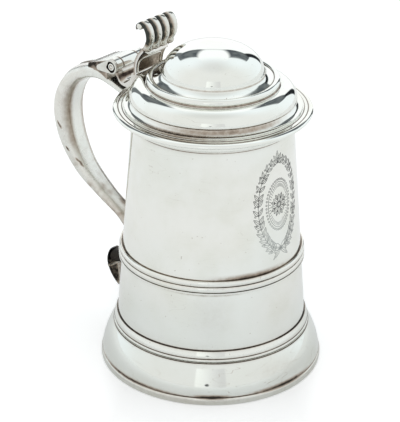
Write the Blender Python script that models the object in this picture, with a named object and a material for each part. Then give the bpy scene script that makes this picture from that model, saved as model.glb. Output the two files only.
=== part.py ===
"""Silver lidded tankard: a tapering barrel on a moulded foot, a hollow scroll handle and a hinged lid.

Heights are measured from the surface that the tankard stands on. Shapes are drawn about the barrel's
axis, with the handle towards -X, and a root empty shifts them to centre the whole on the origin.
"""
import math

import bmesh
import bpy
from mathutils import Vector

MM = 0.001

# Driving dimensions of the whole
SEGMENTS = 36
CLEARANCE = 0.3 * MM
WALL = 1.1 * MM

# Barrel and its base: the cone is carried down to the standing surface to state its lower radius
RIM_HEIGHT = 149.0 * MM
BARREL_FLOOR_RADIUS = 55.0 * MM
BARREL_RIM_RADIUS = 44.0 * MM
BARREL_START = 15.5 * MM
CUP_FLOOR_HEIGHT = 17.0 * MM
BASE_DISH = 0.4 * MM
BASE_EDGE_WIDTH = 10.0 * MM

# Foot
FOOT_SPREAD = 7.6 * MM
FOOT_RIM_HEIGHT = 4.4 * MM
FOOT_RIM_WIDTH = 5.6 * MM
FOOT_RIM_BULGE = 1.4 * MM
SKIRT_TOP_HEIGHT = 22.3 * MM
SKIRT_TOP_PROUD = 1.9 * MM
SKIRT_INSET = 0.7 * MM
SKIRT_LEAN = 8.0
SKIRT_WALL = 1.2 * MM
COLLAR_TOP_HEIGHT = 29.0 * MM
COLLAR_PROUD = 1.3 * MM
COLLAR_EDGE = 0.25 * MM
COLLAR_REED = 2.0 * MM
COLLAR_REED_PROUD = 1.65 * MM
COLLAR_REED_FLAT = 0.55
COLLAR_REED_ROUND = 0.9

# Girdle and lip mouldings
GIRDLE_BOTTOM = 62.8 * MM
GIRDLE_HEIGHT = 7.7 * MM
GIRDLE_PROUD = 1.6 * MM
GIRDLE_FILLET = 1.1 * MM
GIRDLE_REED_FLAT = 0.4
GIRDLE_FILLET_PROUD = 0.85
GIRDLE_FILLET_SHARE = 0.9
LIP_OVERHANG = 5.7 * MM
LIP_DEPTH = 5.6 * MM
LIP_FILLET = 1.9 * MM
LIP_EDGE = 0.4 * MM
LIP_COVE_SHARE = 0.9

# Lid
FLANGE_OVERHANG = 10.5 * MM
FLANGE_THICKNESS = 3.5 * MM
FLANGE_NOSE = 2.6 * MM
FLANGE_NOSE_RISE = 0.42
FLANGE_STEP_WIDTH = 1.3 * MM
FLANGE_STEP_DEPTH = 0.45 * MM
COVE_HEIGHT = 4.1 * MM
COVE_SETBACK = 0.7 * MM
SHOULDER_OVERHANG = 1.6 * MM
SHOULDER_RISE = 8.1 * MM
SHOULDER_EDGE = 0.5 * MM
SHOULDER_UNDERCUT = 1.0 * MM
BEAD_SPREAD = 8.6 * MM
BEAD_HEIGHT = 4.2 * MM
BEAD_ROLL = 1.5 * MM
DOME_RADIUS = 27.7 * MM
DOME_RISE = 17.0 * MM
DOME_STEP = 1.3 * MM
DOME_SQUARENESS = 2.2
BEZEL_DEPTH = 4.0 * MM
BEZEL_PLAY = 1.0 * MM
BEZEL_TAPER = 0.3 * MM

# Hinge
HINGE_STANDOFF = 9.1 * MM
HINGE_RISE = 11.8 * MM
HINGE_HALF_WIDTH = 13.0 * MM
KNUCKLE_RADIUS = 4.2 * MM
LID_KNUCKLE_HALF_WIDTH = 6.3 * MM
PIN_RADIUS = 1.6 * MM
PIN_HEAD_PROUD = 0.7 * MM
CHEEK_THICKNESS = 1.6 * MM
CHEEK_RIM = 1.0 * MM
CHEEK_TAIL_LENGTH = 9.3 * MM
CHEEK_TAIL_FALL = 2.6 * MM
CHEEK_TAIL_RADIUS = 1.75 * MM
PLATE_LENGTH = 20.5 * MM
PLATE_THICKNESS = 2.0 * MM
PLATE_BEVEL = 1.0 * MM
PLATE_REAR_SHARE = 0.7
DROP_LENGTH = 17.0 * MM
DROP_HALF_WIDTH = 3.4 * MM
DROP_HEIGHT = 1.5 * MM
DROP_EDGE = 0.2 * MM
DROP_TAPER = 0.85

# Handle
HANDLE_BOW = 102.7 * MM
HANDLE_WIDTH = 19.0 * MM
HANDLE_DEPTH = 13.6 * MM
HANDLE_SHEET = 1.0 * MM
STRAP_SHARE = 0.54
STRAP_RECESS = 0.5 * MM
STRAP_CROWN = 0.3 * MM
TERMINAL_HEIGHT = 24.5 * MM
TERMINAL_HALF_WIDTH = 6.5 * MM
TERMINAL_THICKNESS = 2.0 * MM
TERMINAL_TOP_MARGIN = 0.8 * MM
TERMINAL_FULLEST = 0.72
TERMINAL_ROUND_TOP = 0.30
TERMINAL_POINT = 1.7

# Thumbpiece and the bracket that carries it
BRACKET_HALF_WIDTH = 10.7 * MM
BRACKET_DROP = 0.6 * MM
BRACKET_CHIN = 5.6 * MM
BRACKET_SCOOP = 5.8 * MM
BRACKET_LIP = 0.5 * MM
THUMB_SETBACK = 2.0 * MM
THUMB_LAND = 2.4 * MM
THUMB_HEIGHT = 33.0 * MM
THUMB_HALF_WIDTH = 13.2 * MM
THUMB_SHEET = 1.4 * MM
THUMB_ROLL = 1.8 * MM
RIB_COUNT = 4
RIB_COLUMNS = 6
RIB_DEPTH = 1.9 * MM
RIB_BACK_SHARE = 0.5
RIB_KNOB = 0.3

# Places on the thumbpiece, as shares of its length from foot to tip
LEDGE_PLACE = 0.335
LEDGE_BAND = 0.02
KNOB_LENGTH = 0.10
SPREAD_END = 0.75
CURL_START = 0.80
CURL_LENGTH = 0.12
FLUTE_SETBACK = 0.16

# Values that follow from them
FOOT_RADIUS = BARREL_FLOOR_RADIUS + FOOT_SPREAD
FLANGE_RADIUS = BARREL_RIM_RADIUS + FLANGE_OVERHANG
FLANGE_BOTTOM = RIM_HEIGHT + CLEARANCE
FLANGE_TOP = FLANGE_BOTTOM + FLANGE_THICKNESS
FLANGE_LEDGE_RADIUS = FLANGE_RADIUS - FLANGE_NOSE - 2.0 * FLANGE_STEP_WIDTH
COVER_BOTTOM = FLANGE_TOP + CLEARANCE
STEP_HEIGHT = COVER_BOTTOM + COVE_HEIGHT
SHOULDER_RADIUS = BARREL_RIM_RADIUS + SHOULDER_OVERHANG
SHOULDER_TOP = STEP_HEIGHT + SHOULDER_RISE
BEAD_RADIUS = DOME_RADIUS + BEAD_SPREAD
BEAD_TOP = SHOULDER_TOP + BEAD_HEIGHT
DOME_BASE = BEAD_TOP + DOME_STEP
BEZEL_RADIUS = BARREL_RIM_RADIUS - WALL - BEZEL_PLAY
HINGE_X = -(FLANGE_RADIUS + HINGE_STANDOFF)
HINGE_Z = RIM_HEIGHT + HINGE_RISE
KNUCKLE_BORE = PIN_RADIUS + CLEARANCE
CHEEK_BORE = KNUCKLE_RADIUS - CHEEK_RIM
WRAP_RADIUS = KNUCKLE_RADIUS + CLEARANCE
BRACKET_TOP = HINGE_Z - BRACKET_DROP
THUMB_X = -(SHOULDER_RADIUS + THUMB_SETBACK)

SILVER = ((0.80, 0.80, 0.77), 0.16)
SATIN_SILVER = ((0.78, 0.76, 0.70), 0.30)
DARK_SILVER = ((0.58, 0.53, 0.49), 0.22)


def barrel_radius(height):
    """Outer radius of the barrel's cone at a height."""
    share = height / RIM_HEIGHT
    return BARREL_FLOOR_RADIUS + (BARREL_RIM_RADIUS - BARREL_FLOOR_RADIUS) * share


def seat_radius(height):
    """Radius at which a ring sits on the barrel."""
    return barrel_radius(height) + CLEARANCE


def arc(centre, radii, start, end, steps):
    """Points of an elliptic arc about a centre, from one angle to another in degrees."""
    points = []
    for step in range(steps + 1):
        angle = math.radians(start + (end - start) * step / steps)
        points.append((centre[0] + radii[0] * math.cos(angle), centre[1] + radii[1] * math.sin(angle)))
    return points


def superellipse(value, power):
    """Signed power of a sine or cosine, which squares an ellipse off."""
    return math.copysign(abs(value) ** (2.0 / power), value)


def clamp(value):
    """A value held between nought and one."""
    return min(1.0, max(0.0, value))


def new_object(name, mesh, finish, parent):
    """Add a mesh as a named object with its own material under a parent empty."""
    colour, roughness = finish
    material = bpy.data.materials.new(name + "_material")
    material.use_nodes = True
    shader = material.node_tree.nodes["Principled BSDF"]
    shader.inputs["Base Color"].default_value = (*colour, 1.0)
    shader.inputs["Metallic"].default_value = 1.0
    shader.inputs["Roughness"].default_value = roughness
    mesh.materials.append(material)
    mesh.shade_smooth()
    mesh.set_sharp_from_angle(angle=math.radians(35.0))
    item = bpy.data.objects.new(name, mesh)
    bpy.context.scene.collection.objects.link(item)
    item.parent = parent
    # Meshes are drawn about the barrel's axis, and the lid's empty stands on the hinge under the root
    item.location = -parent.location if parent.parent else (0.0, 0.0, 0.0)
    return item


def finish_mesh(name, work):
    """Turn a working mesh into mesh data with its faces pointing out."""
    bmesh.ops.remove_doubles(work, verts=work.verts, dist=1e-7)
    bmesh.ops.recalc_face_normals(work, faces=work.faces)
    mesh = bpy.data.meshes.new(name)
    work.to_mesh(mesh)
    work.free()
    return mesh


def turned(name, outline):
    """Spin an outline of (radius, height) points about the vertical axis."""
    work = bmesh.new()
    ring = [work.verts.new((radius, 0.0, height)) for radius, height in outline]
    pairs = list(zip(ring, ring[1:]))
    if outline[0][0] > 0.0:
        pairs.append((ring[-1], ring[0]))
    edges = [work.edges.new(pair) for pair in pairs]
    bmesh.ops.spin(work, geom=ring + edges, cent=(0, 0, 0), axis=(0, 0, 1), angle=math.tau,
                   steps=SEGMENTS, use_merge=True)
    return finish_mesh(name, work)


def skin(work, loops):
    """Join each closed loop of points to the next one."""
    count = len(loops[0])
    for loop, following in zip(loops, loops[1:]):
        for index in range(count):
            after = (index + 1) % count
            work.faces.new((loop[index], loop[after], following[after], following[index]))


def loft(name, rings):
    """Skin a run of equal closed rings and cap both ends."""
    work = bmesh.new()
    loops = [[work.verts.new(point) for point in ring] for ring in rings]
    skin(work, loops)
    work.faces.new(loops[0])
    work.faces.new(loops[-1])
    return finish_mesh(name, work)


def prism(name, outline, half_width):
    """Extrude an outline of (x, z) points to both sides of the XZ plane."""
    rings = [[(x, side * half_width, z) for x, z in outline] for side in (-1.0, 1.0)]
    return loft(name, rings)


def bored(name, edge, bore, ends):
    """Solid about the hinge axis between two ends along Y: outer points around it and a round bore."""
    hole = []
    for x, z in edge:
        out = Vector((x - HINGE_X, z - HINGE_Z)).normalized() * bore
        hole.append((HINGE_X + out.x, HINGE_Z + out.y))
    work = bmesh.new()
    loops = []
    for outline, y in ((edge, ends[0]), (edge, ends[1]), (hole, ends[1]), (hole, ends[0])):
        loops.append([work.verts.new((x, y, z)) for x, z in outline])
    skin(work, loops + loops[:1])
    return finish_mesh(name, work)


def cut(item, cutter):
    """Take a cutter's solid away from an object."""
    modifier = item.modifiers.new("cut_by_" + cutter.name, "BOOLEAN")
    modifier.operation = "DIFFERENCE"
    modifier.solver = "EXACT"
    modifier.object = cutter


def turned_cutter(name, side, parent):
    """Turned solid inside an outer side given top to bottom. It only cuts, so it isn't rendered."""
    outline = [(0.0, side[0][1]), *side, (0.0, side[-1][1])]
    item = new_object(name, turned(name, outline), SILVER, parent)
    item.display_type = "WIRE"
    item.hide_render = True
    return item


def grown(outline, distance):
    """An open outline, drawn top to bottom, moved outwards by a distance."""
    moved = []
    for index, point in enumerate(outline):
        before = outline[max(index - 1, 0)]
        after = outline[min(index + 1, len(outline) - 1)]
        run = Vector((after[0] - before[0], after[1] - before[1])).normalized()
        moved.append((point[0] - run.y * distance, point[1] + run.x * distance))
    return moved


def make_barrel(parent):
    """Tapering wall, open at both ends; the base disc closes it below."""
    lower = barrel_radius(BARREL_START)
    outline = [
        (BARREL_RIM_RADIUS, RIM_HEIGHT),
        (lower, BARREL_START),
        (lower - WALL, BARREL_START),
        (BARREL_RIM_RADIUS - WALL, RIM_HEIGHT),
    ]
    new_object("barrel", turned("barrel", outline), SILVER, parent)


def make_base_disc(parent):
    """Disc let into the lower end of the barrel, slightly dished on top."""
    top = CUP_FLOOR_HEIGHT + WALL
    edge = barrel_radius(top) - WALL - CLEARANCE
    dished = edge - BASE_EDGE_WIDTH
    bottom = CUP_FLOOR_HEIGHT - BASE_DISH
    outline = [(0.0, top - BASE_DISH), (dished, top - BASE_DISH), (edge, top), (edge, bottom), (0.0, bottom)]
    new_object("base_disc", turned("base_disc", outline), SILVER, parent)


def make_foot_rim(parent):
    """Wire around the edge that the tankard stands on, flat below and rounded outside."""
    half = FOOT_RIM_HEIGHT / 2.0
    inner = FOOT_RADIUS - FOOT_RIM_WIDTH
    outline = [(inner, FOOT_RIM_HEIGHT)]
    outline += arc((FOOT_RADIUS - FOOT_RIM_BULGE, half), (FOOT_RIM_BULGE, half), 70.0, -90.0, 4)
    outline += [(inner, 0.0)]
    new_object("foot_rim", turned("foot_rim", outline), SILVER, parent)


def make_foot_skirt(parent):
    """Hollow spreading skirt: a round arc that starts at a lean and ends on the collar."""
    bottom = FOOT_RIM_HEIGHT + CLEARANCE
    foot_radius = FOOT_RADIUS - SKIRT_INSET
    draw_in = foot_radius - barrel_radius(SKIRT_TOP_HEIGHT) - SKIRT_TOP_PROUD
    rise = SKIRT_TOP_HEIGHT - bottom
    lean = math.radians(SKIRT_LEAN)
    top_angle = 2.0 * math.atan2(draw_in, rise) - lean
    bend = rise / (math.sin(top_angle) - math.sin(lean))
    centre = (foot_radius - bend * math.cos(lean), bottom - bend * math.sin(lean))
    outer = arc(centre, (bend, bend), math.degrees(top_angle), SKIRT_LEAN, 5)
    outline = outer + [(radius - SKIRT_WALL, height) for radius, height in reversed(outer)]
    new_object("foot_skirt", turned("foot_skirt", outline), SILVER, parent)


def make_foot_collar(parent):
    """Ring on the barrel above the skirt: a convex band over a reed."""
    start = SKIRT_TOP_HEIGHT + CLEARANCE
    band_start = start + COLLAR_REED
    band_rise = COLLAR_TOP_HEIGHT - band_start
    outline = []
    steps = 3
    for step in range(steps + 1):
        share = step / steps
        proud = COLLAR_EDGE + (COLLAR_PROUD - COLLAR_EDGE) * math.sin(share * math.pi / 2.0)
        height = COLLAR_TOP_HEIGHT - band_rise * share
        outline.append((seat_radius(height) + proud, height))
    half = COLLAR_REED / 2.0
    flat = COLLAR_REED_PROUD * COLLAR_REED_FLAT
    centre = (seat_radius(start) + flat, start + half)
    outline += arc(centre, (COLLAR_REED_PROUD - flat, half * COLLAR_REED_ROUND), 80.0, -90.0, 4)
    outline += [(seat_radius(start), outline[-1][1]), (seat_radius(COLLAR_TOP_HEIGHT), COLLAR_TOP_HEIGHT)]
    new_object("foot_collar", turned("foot_collar", outline), SILVER, parent)


def make_girdle(parent):
    """Band of two reeds over a thin fillet around the lower barrel."""
    top = GIRDLE_BOTTOM + GIRDLE_HEIGHT
    reed = (GIRDLE_HEIGHT - GIRDLE_FILLET) / 2.0
    flat = GIRDLE_PROUD * GIRDLE_REED_FLAT
    outline = []
    for centre in (top - reed / 2.0, top - reed * 1.5):
        bulge = (GIRDLE_PROUD - flat, reed / 2.0)
        outline += arc((seat_radius(centre) + flat, centre), bulge, 84.0, -84.0, 4)
    fillet_radius = seat_radius(GIRDLE_BOTTOM) + GIRDLE_PROUD * GIRDLE_FILLET_PROUD
    fillet_top = GIRDLE_BOTTOM + GIRDLE_FILLET * GIRDLE_FILLET_SHARE
    outline += [(fillet_radius, fillet_top), (fillet_radius, GIRDLE_BOTTOM)]
    outline += [(seat_radius(GIRDLE_BOTTOM), GIRDLE_BOTTOM), (seat_radius(top), top)]
    new_object("girdle_band", turned("girdle_band", outline), SILVER, parent)


def lip_outline():
    """Outer side of the lip moulding, top to bottom: a fillet over a cove."""
    edge = BARREL_RIM_RADIUS + LIP_OVERHANG
    bottom = RIM_HEIGHT - LIP_DEPTH
    start = seat_radius(bottom) + LIP_EDGE
    outline = [
        (edge - LIP_EDGE, RIM_HEIGHT),
        (edge, RIM_HEIGHT - LIP_EDGE),
        (edge, RIM_HEIGHT - LIP_FILLET),
    ]
    cove_height = (LIP_DEPTH - LIP_FILLET) * LIP_COVE_SHARE
    return outline + arc((edge, bottom), (edge - start, cove_height), 90.0, 180.0, 4)


def make_lip(parent):
    """Flared moulding around the rim."""
    outline = lip_outline()
    bottom = outline[-1][1]
    outline += [(seat_radius(bottom), bottom), (BARREL_RIM_RADIUS + CLEARANCE, RIM_HEIGHT)]
    new_object("lip_moulding", turned("lip_moulding", outline), SILVER, parent)


def body_side():
    """Outer side of the body, top to bottom, with the clearance that the handle keeps to it."""
    girdle_top = GIRDLE_BOTTOM + GIRDLE_HEIGHT + CLEARANCE
    girdle_bottom = GIRDLE_BOTTOM - CLEARANCE
    collar_top = COLLAR_TOP_HEIGHT + CLEARANCE
    side = grown(lip_outline(), CLEARANCE)
    below_lip = RIM_HEIGHT - LIP_DEPTH - 2.0 * CLEARANCE
    side += [(seat_radius(below_lip), below_lip), (seat_radius(girdle_top), girdle_top)]
    girdle_radius = seat_radius(girdle_bottom) + GIRDLE_PROUD + CLEARANCE
    side += [(girdle_radius, girdle_top), (girdle_radius, girdle_bottom)]
    side += [(seat_radius(girdle_bottom), girdle_bottom), (seat_radius(collar_top), collar_top)]
    collar_radius = seat_radius(SKIRT_TOP_HEIGHT) + COLLAR_REED_PROUD + CLEARANCE
    side += [(collar_radius, collar_top), (collar_radius, SKIRT_TOP_HEIGHT)]
    return side + [(FOOT_RADIUS + CLEARANCE, 0.0)]


def smooth_route(knots, steps):
    """Catmull-Rom curve through knots of any number of values, with a few steps to each span."""
    before = [2.0 * a - b for a, b in zip(knots[0], knots[1])]
    after = [2.0 * a - b for a, b in zip(knots[-1], knots[-2])]
    padded = [before, *knots, after]
    route = []
    for span in range(len(knots) - 1):
        quads = list(zip(*padded[span:span + 4]))
        for step in range(steps):
            t = step / steps
            route.append([0.5 * (2.0 * b + (c - a) * t + (2.0 * a - 5.0 * b + 4.0 * c - d) * t * t
                                 + (3.0 * b - a - 3.0 * c + d) * t ** 3) for a, b, c, d in quads])
    route.append(list(knots[-1]))
    return route


def direction_at(route, index):
    """Unit direction of a route of (x, height, ...) points at one of them."""
    before = route[max(index - 1, 0)]
    after = route[min(index + 1, len(route) - 1)]
    return Vector((after[0] - before[0], after[1] - before[1])).normalized()


def handle_knots():
    """Scroll of the strap's face with the section on it: x, height, depth, width and squareness.

    A knot stands out from the barrel's side by a share of the way to the bow.
    """
    shares = [
        (-0.057, 0.912, 0.34, 0.84, 3.0),
        (0.192, 0.947, 0.34, 0.89, 3.0),
        (0.397, 0.977, 0.41, 0.95, 3.0),
        (0.579, 0.990, 0.60, 0.97, 3.0),
        (0.759, 0.972, 0.66, 1.00, 2.6),
        (0.919, 0.922, 0.78, 1.00, 2.2),
        (1.000, 0.830, 1.00, 1.00, 2.1),
        (0.968, 0.718, 0.96, 0.95, 2.1),
        (0.816, 0.606, 0.72, 0.82, 2.1),
        (0.538, 0.520, 0.53, 0.67, 2.1),
        (0.242, 0.450, 0.44, 0.60, 2.1),
        (0.000, 0.350, 0.485, 0.59, 2.1),
        (0.026, 0.268, 0.545, 0.58, 2.1),
        (0.183, 0.236, 0.55, 0.58, 2.1),
        (0.385, 0.218, 0.55, 0.58, 2.1),
    ]
    knots = []
    for out, height, depth, width, power in shares:
        side = barrel_radius(RIM_HEIGHT * height)
        x = -(side + (HANDLE_BOW - side) * out)
        knots.append((x, RIM_HEIGHT * height, HANDLE_DEPTH * depth, HANDLE_WIDTH * width, power))
    return knots


def handle_stations(steps=3):
    """Sections along the handle: point on the strap's face, outward direction, depth, width, squareness."""
    route = smooth_route(handle_knots(), steps)
    stations = []
    for index, (x, z, depth, width, power) in enumerate(route):
        run = direction_at(route, index)
        stations.append((Vector((x, 0.0, z)), Vector((run.y, 0.0, -run.x)), depth, width, power))
    return stations


def spine_point(station, lift=0.0):
    """Outermost point of the shell at a station, lifted off it by a distance."""
    point, outward, depth, _, _ = station
    return point + outward * (depth + lift)


def shell_section(station, inset, edge):
    """Points of the shell's section from one edge of the strap round the outside to the other."""
    point, outward, depth, width, power = station
    half = width / 2.0 - inset
    rise = depth / 2.0 - inset
    start = math.acos((edge / half) ** (power / 2.0))
    steps = 10
    ring = []
    for step in range(steps + 1):
        angle = -start + (math.pi + 2.0 * start) * step / steps
        across = half * superellipse(math.cos(angle), power)
        out = depth / 2.0 + rise * superellipse(math.sin(angle), power)
        ring.append(point + outward * out + Vector((0.0, across, 0.0)))
    return ring


def strap_section(station, edge):
    """Points of the strap's section: a strip let in between the shell's edges, slightly crowned."""
    point, outward, _, _, _ = station
    half = Vector((0.0, edge - CLEARANCE, 0.0))
    face = point + outward * STRAP_RECESS
    back = face + outward * HANDLE_SHEET
    return [face - half, face - outward * STRAP_CROWN, face + half, back + half, back - half]


def make_handle(parent, cutter):
    """Hollow scroll handle: an outer shell of C section, the strap that closes it and the end shield."""
    shell = []
    strap = []
    stations = handle_stations()
    for station in stations:
        edge = STRAP_SHARE * station[3] / 2.0
        shell.append(shell_section(station, 0.0, edge) + shell_section(station, HANDLE_SHEET, edge)[::-1])
        strap.append(strap_section(station, edge))
    for name, rings in (("handle_shell", shell), ("handle_strap", strap)):
        cut(new_object(name, loft(name, rings), SATIN_SILVER, parent), cutter)
    make_terminal(parent, stations[-1])


def shield_half_width(share):
    """Half the shield's width at a share of its height: a pointed foot, full above, a round top."""
    if share < TERMINAL_FULLEST:
        return TERMINAL_HALF_WIDTH * (1.0 - (1.0 - share / TERMINAL_FULLEST) ** TERMINAL_POINT)
    return TERMINAL_HALF_WIDTH * math.sqrt(1.0 - ((share - TERMINAL_FULLEST) / TERMINAL_ROUND_TOP) ** 2)


def make_terminal(parent, station):
    """Shield across the end of the handle, square to its run."""
    steps = 8
    rows = [step / steps for step in range(steps + 1)]
    outline = [(shield_half_width(row), row * TERMINAL_HEIGHT) for row in rows]
    outline += [(-across, height) for across, height in reversed(outline[1:])]
    mesh = prism("handle_terminal", outline, TERMINAL_THICKNESS / 2.0)
    shield = new_object("handle_terminal", mesh, DARK_SILVER, parent)
    outward = station[1]
    run = Vector((-outward.z, 0.0, outward.x))
    shield.rotation_euler = (math.atan2(outward.x, outward.z), 0.0, math.pi / 2.0)
    shield.location = (spine_point(station, TERMINAL_TOP_MARGIN - TERMINAL_HEIGHT)
                       + run * (CLEARANCE + TERMINAL_THICKNESS / 2.0))


def upper_run(steps):
    """Stations of the handle from the rim to the top of the bow."""
    stations = handle_stations(steps)
    return stations[:len(stations) // 2]


def make_hinge_plate(parent):
    """Plate on the handle's top: it follows the spine below and wraps the knuckles in front."""
    rear = HINGE_X - PLATE_LENGTH
    front = HINGE_X - KNUCKLE_RADIUS
    spine = [spine_point(station, CLEARANCE) for station in upper_run(3)]
    seat = [(point.x, point.z) for point in spine if rear < point.x < front]
    wrap = arc((HINGE_X, HINGE_Z), (WRAP_RADIUS, WRAP_RADIUS), 205.0, 165.0, 4)
    rear_x, rear_z = seat[-1]
    outline = seat[::-1] + wrap
    outline.append((wrap[-1][0] - PLATE_BEVEL, wrap[-1][1]))
    outline.append((rear_x + PLATE_BEVEL, rear_z + PLATE_THICKNESS))
    outline.append((rear_x, rear_z + PLATE_THICKNESS * PLATE_REAR_SHARE))
    half = HINGE_HALF_WIDTH - CHEEK_THICKNESS - CLEARANCE
    new_object("hinge_plate", prism("hinge_plate", outline, half), SATIN_SILVER, parent)
    make_hinge_drop(parent, rear_x)


def make_hinge_drop(parent, plate_rear):
    """Tapering drop along the handle's spine behind the hinge plate."""
    front = plate_rear - CLEARANCE
    ridge = [station for station in upper_run(6) if front - DROP_LENGTH < spine_point(station).x < front]
    rings = []
    for index, station in enumerate(ridge):
        share = index / (len(ridge) - 1)
        swell = math.sqrt(1.0 - DROP_TAPER * share ** 2)
        ring = []
        for side in (-1.0, -0.6, 0.0, 0.6, 1.0):
            lift = CLEARANCE + DROP_EDGE + DROP_HEIGHT * swell * (1.0 - side ** 2)
            ring.append(spine_point(station, lift) + Vector((0.0, side * DROP_HALF_WIDTH * swell, 0.0)))
        rings.append(ring)
    new_object("hinge_drop", loft("hinge_drop", rings), SATIN_SILVER, parent)


def round_edge(radius):
    """Points of a circle about the hinge axis."""
    return arc((HINGE_X, HINGE_Z), (radius, radius), 0.0, 360.0, 20)[:-1]


def between(start, end):
    """Two points that part a straight line in three."""
    return [tuple(Vector(start).lerp(end, share)) for share in (1.0 / 3.0, 2.0 / 3.0)]


def teardrop_edge():
    """Outline of a cheek about the hinge axis: a round end with a tail along the handle."""
    axis = Vector((HINGE_X, HINGE_Z))
    tail = Vector((-CHEEK_TAIL_LENGTH, -CHEEK_TAIL_FALL))
    heading = math.degrees(math.atan2(tail.y, tail.x))
    lean = math.degrees(math.acos((KNUCKLE_RADIUS - CHEEK_TAIL_RADIUS) / tail.length))
    head = arc(axis, (KNUCKLE_RADIUS, KNUCKLE_RADIUS), heading + lean, heading + 360.0 - lean, 17)
    tip = arc(axis + tail, (CHEEK_TAIL_RADIUS, CHEEK_TAIL_RADIUS), heading - lean, heading + lean, 5)
    return head + between(head[-1], tip[0]) + tip + between(tip[-1], head[0])


def make_hinge(parent):
    """Handle's two knuckles, the teardrop cheeks at their ends and the riveted pin."""
    cheek_inner = HINGE_HALF_WIDTH - CHEEK_THICKNESS
    for label, side in (("near", -1.0), ("far", 1.0)):
        name = "handle_knuckle_" + label
        ends = (side * (LID_KNUCKLE_HALF_WIDTH + CLEARANCE), side * (cheek_inner - CLEARANCE))
        new_object(name, bored(name, round_edge(KNUCKLE_RADIUS), KNUCKLE_BORE, ends), DARK_SILVER, parent)
        name = "hinge_cheek_" + label
        ends = (side * cheek_inner, side * HINGE_HALF_WIDTH)
        new_object(name, bored(name, teardrop_edge(), CHEEK_BORE, ends), SATIN_SILVER, parent)

    head = cheek_inner + CLEARANCE / 2.0
    end = HINGE_HALF_WIDTH - CLEARANCE
    head_radius = PIN_RADIUS + PIN_HEAD_PROUD
    rings = []
    for y, radius in ((-end, head_radius), (-head, head_radius), (-head, PIN_RADIUS),
                      (head, PIN_RADIUS), (head, head_radius), (end, head_radius)):
        rings.append([(x, y, z) for x, z in round_edge(radius)])
    new_object("hinge_pin", loft("hinge_pin", rings), SILVER, parent)


def flange_side():
    """Outer side of the flange, top to bottom: two thin steps over a bullnose."""
    half = FLANGE_THICKNESS * FLANGE_NOSE_RISE
    nose = FLANGE_RADIUS - FLANGE_NOSE
    outline = [(FLANGE_LEDGE_RADIUS, FLANGE_TOP), (nose - FLANGE_STEP_WIDTH, FLANGE_TOP - FLANGE_STEP_DEPTH)]
    return outline + arc((nose, FLANGE_BOTTOM + half), (FLANGE_NOSE, half), 80.0, -90.0, 6)


def dome_arc(inset, steps):
    """Quarter of the dome from its top to its foot, inset by a thickness."""
    points = [(0.0, DOME_BASE + DOME_RISE - inset)]
    for step in range(1, steps + 1):
        angle = math.pi / 2.0 * (1.0 - step / steps)
        radius = (DOME_RADIUS - inset) * superellipse(math.cos(angle), DOME_SQUARENESS)
        height = (DOME_RISE - inset) * superellipse(math.sin(angle), DOME_SQUARENESS)
        points.append((radius, DOME_BASE + height))
    return points


def dome_side():
    """Outer side of the cover's upper part: the dome and the dished ring at its foot."""
    dish = BEAD_RADIUS - DOME_RADIUS - BEAD_ROLL
    return dome_arc(0.0, 7) + arc((DOME_RADIUS + dish, DOME_BASE), (dish, DOME_STEP), 190.0, 270.0, 3)


def shoulder_side():
    """Outer side of the cover's lower part: bead, groove, convex shoulder, step and cove."""
    bead_centre = (BEAD_RADIUS - BEAD_ROLL, BEAD_TOP - BEAD_ROLL)
    outline = arc(bead_centre, (BEAD_ROLL, BEAD_ROLL), 80.0, -30.0, 4)
    outline.append((BEAD_RADIUS, SHOULDER_TOP + SHOULDER_EDGE))
    run = SHOULDER_RADIUS - BEAD_RADIUS
    rise = SHOULDER_RISE - SHOULDER_EDGE
    outline += arc((BEAD_RADIUS, STEP_HEIGHT + SHOULDER_EDGE), (run, rise), 86.0, 0.0, 6)
    outline.append((SHOULDER_RADIUS - SHOULDER_EDGE, STEP_HEIGHT))
    inner = SHOULDER_RADIUS - SHOULDER_UNDERCUT
    cove = FLANGE_LEDGE_RADIUS - COVE_SETBACK - inner
    return outline + arc((inner + cove, STEP_HEIGHT), (cove, COVE_HEIGHT - COVE_SETBACK), 184.0, 270.0, 4)


def make_lid(parent):
    """Stepped domed cover, the flange that it stands on and the bezel below."""
    bore = BEZEL_RADIUS - WALL
    flange = flange_side() + [(bore, FLANGE_BOTTOM), (bore, FLANGE_TOP)]
    new_object("lid_flange", turned("lid_flange", flange), SILVER, parent)

    cover = dome_side() + shoulder_side()
    inner = SHOULDER_RADIUS - SHOULDER_UNDERCUT - WALL
    cover += [(cover[-1][0], COVER_BOTTOM), (inner, COVER_BOTTOM), (inner, STEP_HEIGHT)]
    neck = BEAD_RADIUS - 2.0 * WALL
    cover += arc((neck, STEP_HEIGHT), (inner - neck, SHOULDER_RISE - WALL), 20.0, 86.0, 3)
    cover += [(neck, BEAD_TOP - WALL), (DOME_RADIUS - WALL, BEAD_TOP - WALL)]
    cover += dome_arc(WALL, 4)[-2::-1]
    new_object("lid_cover", turned("lid_cover", cover), SILVER, parent)

    bottom = RIM_HEIGHT - BEZEL_DEPTH
    bezel = [(BEZEL_RADIUS, RIM_HEIGHT), (BEZEL_RADIUS - BEZEL_TAPER, bottom)]
    bezel += [(bore, bottom), (bore, RIM_HEIGHT)]
    new_object("lid_bezel", turned("lid_bezel", bezel), SILVER, parent)


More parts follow.
